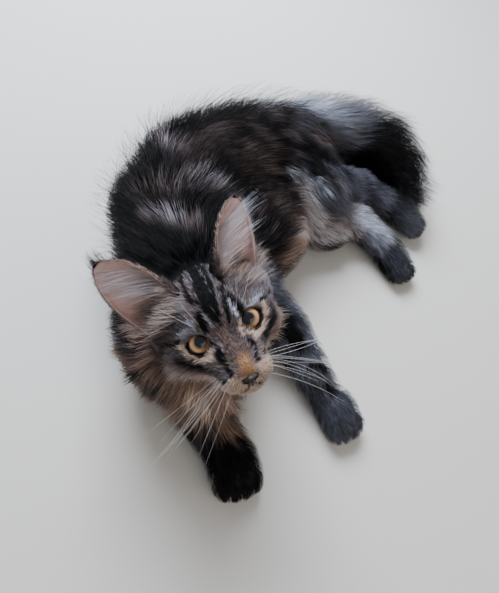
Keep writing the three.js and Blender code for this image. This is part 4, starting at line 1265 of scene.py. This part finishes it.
def add_eye(side, word):
    """A ball with a bulging cornea, and on it each point's own place for the iris."""
    axes, centre = gaze_axes(side), eye_centre(side)
    polar = np.concatenate([[0.01], np.linspace(0.05, 1.0, 26), np.linspace(1.1, math.pi - 0.01, 18)])
    turns = np.arange(64) * 2 * math.pi / 64
    bulge = EYE_RADIUS + CORNEA_BULGE * np.exp(-((polar / 0.62) ** 4))
    local = np.stack([
        np.sin(polar)[:, None] * np.cos(turns), np.sin(polar)[:, None] * np.sin(turns),
        np.cos(polar)[:, None] + 0 * turns], -1) * bulge[:, None, None]
    points, faces = loft(local)
    eye = add_mesh("eyeball_" + word, place(points @ axes.T + centre), faces, eye_gloss)
    add_attribute(eye.data, "eye_place", points / 10)
    pieces.append((eye, "eye", ("eye_" + word,)))


def eye_material():
    """Wet cornea over an amber iris with fine spokes: a sharp clear coat over a soft, deep colour."""
    material, tree, shader = new_material("Wet cornea over amber iris")
    spot = add_node(tree, "ShaderNodeAttribute", attribute_name="eye_place").outputs["Vector"]
    split = add_node(tree, "ShaderNodeSeparateXYZ", {0: spot})
    flat = add_node(tree, "ShaderNodeCombineXYZ", {0: split.outputs[0], 1: split.outputs[1]})
    radius = add_node(tree, "ShaderNodeVectorMath", {0: flat.outputs[0]}, operation="LENGTH")
    spoke_way = add_node(tree, "ShaderNodeVectorMath", {0: flat.outputs[0]}, operation="NORMALIZE")
    spokes = add_node(tree, "ShaderNodeTexNoise", {
        "Vector": spoke_way.outputs[0], "Scale": 16.0, "Detail": 4.0})
    wander = add_node(tree, "ShaderNodeMath", {
        0: spokes.outputs["Fac"], 1: 0.10, 2: radius.outputs["Value"]}, operation="MULTIPLY_ADD")
    ramp = add_node(tree, "ShaderNodeValToRGB", {"Fac": wander.outputs[0]})
    pupil = PUPIL_RADIUS / 10
    stops = (  # centimetres from the middle of the eye, and the colour there
        # The pupil is near black with a faint blue tint, a painted reflection of the window
        (0.0, "#030818"),
        (pupil + 0.035, "#040916"),
        (pupil + 0.07, "#6a5f4c"),
        (0.55, "#a98460"),
        (0.63, "#d9a878"),
        (0.73, "#d8a06f"),
        (0.785, "#5a3a28"),
        (0.82, "#160e0c"),
    )
    for k, (stop, shade) in enumerate(stops):
        element = ramp.color_ramp.elements[k] if k < 2 else ramp.color_ramp.elements.new(stop)
        element.position, element.color = stop, linear(shade)
    tree.links.new(ramp.outputs["Color"], shader.inputs["Base Color"])
    shader.inputs["Roughness"].default_value = 0.35
    shader.inputs["IOR"].default_value = 1.376
    shader.inputs["Coat Weight"].default_value = 0.7
    shader.inputs["Coat Roughness"].default_value = 0.02
    return material


LID_POINTS = 72
LID_HEIGHT = 0.5  # of the rim's middle line over the eyeball, in mm


def add_lid_rim(side, word):
    """The lids' edge: an almond on the eyeball, thin above the eye and fuller below it."""
    wide, high = EYE_OPENING
    turns = np.arange(LID_POINTS) * 2 * math.pi / LID_POINTS
    x = wide * np.cos(turns)
    y = high * np.sign(np.sin(turns)) * (1 - np.cos(turns) ** 2) ** 0.85
    z = np.sqrt(np.maximum((EYE_RADIUS + LID_HEIGHT) ** 2 - x * x - y * y, 1))
    line = np.stack([x, y, z], 1) @ eye_axes(side).T + eye_centre(side)
    points, faces = tube(line, 0.72 - 0.3 * np.sin(turns), 8, looped=True)
    pieces.append((add_mesh("lid_rim_" + word, place(points), faces, lid_rim), "coat_face", ()))


def skin_finish(name, colour, deep, roughness, grain_mm, bump):
    """Bare skin: fine pebbled grain that breaks the shine."""
    material, tree, shader = new_material(name)
    where = add_node(tree, "ShaderNodeTexCoord").outputs["Object"]
    grain = add_node(tree, "ShaderNodeTexNoise", {
        "Vector": where, "Scale": 1 / (grain_mm * MM), "Detail": 3.0})
    patch = add_node(tree, "ShaderNodeTexNoise", {"Vector": where, "Scale": 160.0, "Detail": 2.0})
    mixed = add_node(tree, "ShaderNodeMix", {
        MIX_FACTOR: patch.outputs["Fac"], MIX_A: linear(colour), MIX_B: linear(deep)}, data_type="RGBA")
    tree.links.new(mixed.outputs[MIX_RESULT], shader.inputs["Base Color"])
    relief = add_node(tree, "ShaderNodeBump", {
        "Height": grain.outputs["Fac"], "Distance": bump * MM, "Strength": 0.8})
    tree.links.new(relief.outputs[0], shader.inputs["Normal"])
    shader.inputs["Roughness"].default_value = roughness
    return material


# Lid rims stay moist and catch a small light, nose leather is pebbled and nearly matt, and the
# thin skin of the ears is soft pink in the cup and dark behind
lid_rim = skin_finish("Moist dark lid rim", "#1a1210", "#2c1f1a", 0.35, 0.8, 0.1)
nose_leather = skin_finish("Pebbled nose leather", "#2a1b17", "#120b0a", 0.5, 0.9, 0.35)
ear_lining = skin_finish("Thin ear skin", "#d0b0ab", "#bd9690", 0.6, 1.6, 0.2)
ear_back = skin_finish("Dark skin behind the ear", "#1d191a", "#2a2424", 0.8, 1.6, 0.2)
eye_gloss = eye_material()
for side, word in SIDES:
    add_eye(side, word)
    add_lid_rim(side, word)


def nose_distance(points):
    """Nose leather: a rounded wedge with two comma nostrils and the groove below."""
    local = in_head(points)

    def ball(centre, radii):
        offset = (local - centre) / radii
        return (np.linalg.norm(offset, axis=-1) - 1) * min(radii)

    pad = ball((0, -22.2, 26.9), (6.5, 2.5, 4.1))
    groove = ball((0, -25.0, 27.0), (1.6, 3.4, 2.8))
    near = np.maximum(3 - np.abs(pad - groove), 0) / 3
    body = np.minimum(pad, groove) - near * near * 0.75
    for side in (-1, 1):
        body = np.maximum(body, -ball((side * 3.3, -22.9, 30.2), (1.6, 1.0, 2.4)))
        body = np.maximum(body, -ball((side * 5.1, -22.3, 29.0), (1.5, 0.7, 2.4)))
    return np.maximum(body, -ball((0, -26.5, 31.4), (0.5, 5.0, 1.6)))


NOSE_CORNERS = (
    (-9, -32, 20), (9, -12, 36), (9, -32, 36), (-9, -12, 20), (-9, -32, 36), (9, -12, 20),
)
NOSE_STEP = 0.35


def add_nose():
    corners = on_head(*NOSE_CORNERS)
    points, faces = isosurface(nose_distance, corners.min(0) - 3, corners.max(0) + 3, NOSE_STEP)
    pieces.append((add_mesh("nose", place(points), faces, nose_leather), "coat_face", ()))


MOUTH = ((1, -27, 31), (3, -31, 27), (8, -33.5, 23), (13, -33, 17), (18, -30, 9), (21, -27, 2))
LIP_RADIUS = 0.9


def resample(line, count):
    line = np.asarray(line, float)
    run = np.concatenate([[0], np.cumsum(np.linalg.norm(np.diff(line, axis=0), axis=1))])
    at = np.linspace(0, run[-1], count)
    return np.stack([np.interp(at, run, line[:, i]) for i in range(3)], 1)


def add_lips():
    """A dark line on the skin along each side of the mouth."""
    lips = []
    for side in (-1, 1):
        line = on_head(*resample([(side * x, y, z) for x, y, z in MOUTH], 28))
        line = line - outward(line) * (distance(line) - 0.2)[:, None]
        lips.append(tube(line, LIP_RADIUS, 8))
    points, faces = joined(lips)
    pieces.append((add_mesh("lips", place(points), faces, lid_rim), "coat_face", ()))


add_nose()
add_lips()


# Ears: thin cupped shells, furred behind, with long hair streaming out of the cup
def ear_axes(side):
    root, tip, facing = EARS[side]
    root, tip = on_head(root, tip)
    along = unit(tip - root)
    facing = HEAD @ np.array(facing, float)
    facing = unit(facing - (facing @ along) * along)
    return root, np.stack([np.cross(along, facing), along, facing], 1)


def ear_point(side, along, turn, inset):
    """A place on the ear: along 0 to 1 from root to tip, turn -1 to 1 from one rim to the other."""
    root, axes = ear_axes(side)
    width = EAR_HALF_WIDTH * (1 - along ** EAR_ROUNDING[0]) ** EAR_ROUNDING[1] + EAR_RIM - inset
    depth = EAR_DEPTH * (1 - along) ** 0.8 + EAR_RIM - inset
    spread = np.radians(EAR_WRAP[0] + EAR_WRAP[1] * (1 - along) ** 2)
    local = np.stack([
        width * np.sin(turn * spread), along * EAR_LENGTH - (1 - along) * EAR_SINK,
        5 - depth * np.cos(turn * spread)], -1)
    return local @ axes.T + root


def ear_mesh(side):
    rings = []
    for along in np.linspace(0, 0.985, 30):
        wall = min(EAR_WALL, 0.5 + 1.6 * (1 - along))
        turns = np.linspace(-1, 1, EAR_SIDES)
        level = np.full(EAR_SIDES, along)
        rings.append(np.vstack([
            ear_point(side, level, turns, 0.0),
            ear_point(side, level, turns[::-1] * 0.97, wall)]))
    return loft(rings)


def add_ear_shell(side, word):
    """Pink skin in the cup, and dark skin on the faces of each ring's outer half."""
    points, faces = ear_mesh(side)
    shell = add_mesh("ear_shell_" + word, place(points), faces, ear_lining)
    shell.data.materials.append(ear_back)
    behind = [all(i % (2 * EAR_SIDES) < EAR_SIDES for i in face) for face in faces]
    shell.data.polygons.foreach_set("material_index", np.array(behind, np.int32))
    pieces.append((shell, "ear_skin", ("ear_" + word,)))


TEMPLE = ((15, 28, -14), (19, 25, -10), (24, 21, -11), (31, 16, -18), (37, 13, -22))
TEMPLE_HAIRS = {-1: 240, 1: 90}
TIP_TUFT = {-1: 70, 1: 25}  # hairs past each ear's tip
EAR_BACK_HAIRS = 3400
EAR_RIM_HAIRS = 420


def temple_hair(side, count):
    """Long pale hair that starts before the ear and lies over its opening."""
    line = on_head(*resample([(side * x, y, z) for x, y, z in TEMPLE], count))
    roots = line + rng.normal(size=(count, 3)) * 2.2
    roots = roots - outward(roots) * (distance(roots) + 0.5)[:, None]
    way = HEAD @ unit(np.array([side * 0.9, 0.42, 0.1]))
    ways = unit(way + 0.5 * outward(roots) + 0.2 * rng.normal(size=(count, 3)))
    bend = HEAD @ np.array([side * 0.1, -0.15, -0.35])
    path = straight_paths(roots, ways, rng.uniform(10, 23, count), np.broadcast_to(bend, (count, 3)))
    patch_place = 0.5 + 0.4 * unit(in_head(roots))[:, :2]
    shares = [rng.uniform(0, 0.4, count), np.full(count, 0.6), np.full(count, 0.7)]
    return path, np.full(count, 0.1), patch_place, shares


def unwrap_ear(turn, along):
    return np.column_stack([0.5 + 0.45 * turn, 0.05 + 0.9 * along])


def ear_batch(side, count, along, turn, inset, way, spread, length, bend, half_width, shares):
    """Hairs rooted on a stretch of the ear, from along and turn to along and turn."""
    along = rng.uniform(*along, count)
    turn = rng.uniform(*sorted(turn), count)
    roots = ear_point(side, along, turn, inset)
    ways = unit(np.asarray(way) + spread * rng.normal(size=(count, 3)))
    lengths = rng.uniform(*length, count)
    path = straight_paths(roots, ways, lengths, np.broadcast_to(bend, (count, 3)))
    shares = [np.full(count, share) for share in shares]
    return path, np.full(count, half_width), unwrap_ear(turn, along), shares


def grow_batches(name, batches, joints):
    path, widths, patch_place = (np.concatenate([batch[k] for batch in batches]) for k in range(3))
    shares = [np.concatenate([batch[3][k] for batch in batches]) for k in range(3)]
    grow(name, path, widths, patch_place, shares, coats["Face hair"], "ear_skin", joints,
         flatness=0.6, root_width=0.8)


def furnish_ear(side, word):
    """Hair in the cup: long streamers from the inner rim, short lining, base and inner edge."""
    across, up, face = ear_axes(side)[1].T
    out, inner = side * across, -side
    grow_batches("ear_furnishings_" + word, [
        ear_batch(side, 150, (0.06, 0.62), (inner * 0.95, inner * 0.4), 1.2,
                  0.65 * out + 0.65 * up + 0.2 * face, 0.11, (24, 44), 0.15 * out, 0.08,
                  (0.0, 0.15, 1.0)),
        ear_batch(side, 500, (0.05, 0.9), (-0.9, 0.9), 1.2,
                  0.3 * out + 0.9 * up + 0.05 * face, 0.25, (4, 8), 0.1 * out, 0.08,
                  (0.0, 0.7, 0.6)),
        ear_batch(side, 650, (0.0, 0.18), (-1.0, 1.0), 0.8,
                  0.3 * out + 0.7 * up + 0.6 * face, 0.3, (6, 15), 0.3 * out + 0.2 * up, 0.11,
                  (0.15, 0.6, 0.5)),
        ear_batch(side, 260, (0.0, 0.24), (inner, inner * 0.82), 0.2,
                  0.9 * up + 0.3 * face - 0.4 * out, 0.3, (4, 8), 0.1 * up, 0.12,
                  (0.6, 0.5, 0.2)),
        temple_hair(side, TEMPLE_HAIRS[side]),
    ], 3)


def ear_back_hair(side):
    """Dark hair behind the ear that points to its tip and pales at the rims."""
    count = EAR_BACK_HAIRS
    along = rng.uniform(0, 0.98, count) ** 0.9
    turn = rng.uniform(-1, 1, count)
    roots = ear_point(side, along, turn, 0.15)
    ahead = ear_point(side, np.minimum(along + 0.02, 1.0), turn, 0.15)
    off = unit(roots - ear_point(side, along, turn, 1.5))
    ways = unit(unit(ahead - roots) + 0.5 * off + 0.12 * rng.normal(size=(count, 3)))
    path = straight_paths(roots, ways, rng.uniform(3, 7, count) * (1.1 - 0.4 * along), -0.3 * off)
    rim = smooth(0.8, 1.0, np.abs(turn))
    shares = [0.95 - 0.7 * rim, 0.3 + 0.4 * rim, 0.3 * rim]
    return path, np.full(count, 0.22), unwrap_ear(turn, along), shares


def ear_rim_hair(side):
    """Short pale hair along both rims."""
    count = EAR_RIM_HAIRS
    along = rng.uniform(0.0, 0.97, count)
    turn = rng.choice([-1.0, 1.0], count) * rng.uniform(0.93, 1.0, count)
    roots = ear_point(side, along, turn, 0.5)
    off = unit(roots - ear_point(side, along, turn * 0.5, 0.5))
    up = ear_axes(side)[1][:, 1]
    ways = unit(0.8 * up + 0.5 * off + 0.2 * rng.normal(size=(count, 3)))
    path = straight_paths(roots, ways, rng.uniform(1.5, 3.0, count), 0 * ways)
    shares = [np.full(count, share) for share in (0.05, 0.55, 0.5)]
    return path, np.full(count, 0.11), unwrap_ear(turn, along), shares


def fur_ear(side, word):
    _, up, face = ear_axes(side)[1].T
    grow_batches("ear_fur_" + word, [
        ear_back_hair(side),
        ear_rim_hair(side),
        ear_batch(side, TIP_TUFT[side], (0.9, 0.98), (-0.8, 0.8), 0.2,
                  up - 0.5 * face, 0.14, (8, 17), -0.1 * face, 0.16, PIGMENTS["black"]),
    ], 2)


for side, word in SIDES:
    add_ear_shell(side, word)
for side, word in SIDES:
    furnish_ear(side, word)
    fur_ear(side, word)


# Whiskers stand in rows on each side of the muzzle and over the eyes
def whisker_paths():
    paths = []
    for side in (-1, 1):
        for row in range(3):
            for k in range(4):
                root = on_head((side * (10 + 2.6 * k), -19.5 - 2.6 * row, 22 - 3.2 * k - row))[0]
                root = root - outward(root[None])[0] * (distance(root[None])[0] + 0.5)
                way = np.array([side * (0.8 + 0.06 * k), -0.5 - 0.18 * (row - 1), 0.25 - 0.14 * k])
                way = HEAD @ unit(way + 0.07 * rng.normal(size=3))
                length = rng.uniform(48, 82) * (1 - 0.08 * row)
                droop = 0.2 * DOWN + 0.12 * rng.normal(size=3)
                paths.append(straight_paths(root[None], way[None], [length], droop[None])[0])
        for k in range(2):
            root = on_head((side * (13 + 4 * k), 12 + k, 1 - k))[0]
            way = HEAD @ unit(np.array([side * (0.3 + 0.3 * k), 0.9, 0.1]) + 0.1 * rng.normal(size=3))
            bend = HEAD @ np.array([side * 0.15, 0.1, -0.4])
            paths.append(straight_paths(root[None], way[None], [rng.uniform(16, 26)], bend[None])[0])
    return np.stack(paths)


WHISKER_RADIUS = 0.075


def grow_whiskers():
    """Clear, stiff, round hairs that shine along their length."""
    material = skin_finish("Clear stiff whisker hair", "#f1eeea", "#e2ddd6", 0.35, 2.0, 0.02)
    path = whisker_paths()
    patch_place = 0.5 + 0.4 * unit(in_head(path[:, 0]))[:, :2]
    shares = [np.zeros(len(path))] * 3
    grow("whiskers", path, np.full(len(path), WHISKER_RADIUS), patch_place, shares, material,
         "coat_face", joints=8, flatness=1.0, root_width=1.0)


grow_whiskers()


# The camera stands over the cat and leans down, rolled over
def add_camera():
    right, up, ahead = camera_axes()
    camera = bpy.data.objects.new("Camera", bpy.data.cameras.new("Camera"))
    camera.data.lens, camera.data.sensor_width = CAMERA_LENS, 36.0
    camera.data.clip_start = 0.01
    turned = Matrix(np.stack([right, up, -ahead], 1).tolist()).to_4x4()
    camera.matrix_world = Matrix.Translation(Vector(place(CAMERA_PLACE))) @ turned
    bpy.context.scene.collection.objects.link(camera)
    bpy.context.scene.camera = camera


# Lights: name, place, width and height in metres, watts and colour
AIM = (0, 260, 40)
LIGHTS = (
    ("Window", (-500, 900, 900), (0.8, 0.6), 36, "#eef4ff"),
    ("Fill", (900, -300, 700), (1.0, 1.0), 5, "#fff1e0"),
)
SKY_COLOUR, SKY_STRENGTH = "#eef0f2", 0.38


def add_light(name, place_mm, size, power, colour):
    data = bpy.data.lights.new(name, "AREA")
    data.shape, data.size, data.size_y = "RECTANGLE", size[0], size[1]
    data.energy, data.color = power, linear(colour)[:3]
    light = bpy.data.objects.new(name, data)
    light.location = place(np.array(place_mm, float))
    toward = Vector(place(np.array(AIM, float))) - light.location
    light.rotation_euler = toward.to_track_quat("-Z", "Y").to_euler()
    bpy.context.scene.collection.objects.link(light)


def add_sky():
    world = bpy.data.worlds.new("Studio")
    world.use_nodes = True
    sky = world.node_tree.nodes["Background"].inputs
    sky["Color"].default_value = linear(SKY_COLOUR)
    sky["Strength"].default_value = SKY_STRENGTH
    bpy.context.scene.world = world


def painted_board():
    """Matt painted board: a pale, even ground that shows only a soft shadow."""
    material, tree, shader = new_material("Matt painted board")
    shader.inputs["Roughness"].default_value = 0.8
    where = add_node(tree, "ShaderNodeTexCoord").outputs["Object"]
    cloud = add_node(tree, "ShaderNodeTexNoise", {"Vector": where, "Scale": 6.0})
    colour = add_node(tree, "ShaderNodeMix", {
        MIX_FACTOR: cloud.outputs["Fac"], MIX_A: linear("#d9d7d3"), MIX_B: linear("#dedcd8")},
        data_type="RGBA")
    tree.links.new(colour.outputs[MIX_RESULT], shader.inputs["Base Color"])
    return material


FLOOR_HALF = 4.0  # metres


def add_floor():
    corners = FLOOR_HALF * np.array([[-1, -1, 0], [1, -1, 0], [1, 1, 0], [-1, 1, 0]])
    add_mesh("floor", corners, [(0, 1, 2, 3)], painted_board())


add_camera()
for light in LIGHTS:
    add_light(*light)
add_sky()
add_floor()

for piece, body_slot, nodes in pieces:
    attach(piece, "root")
    if nodes:
        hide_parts(*nodes)
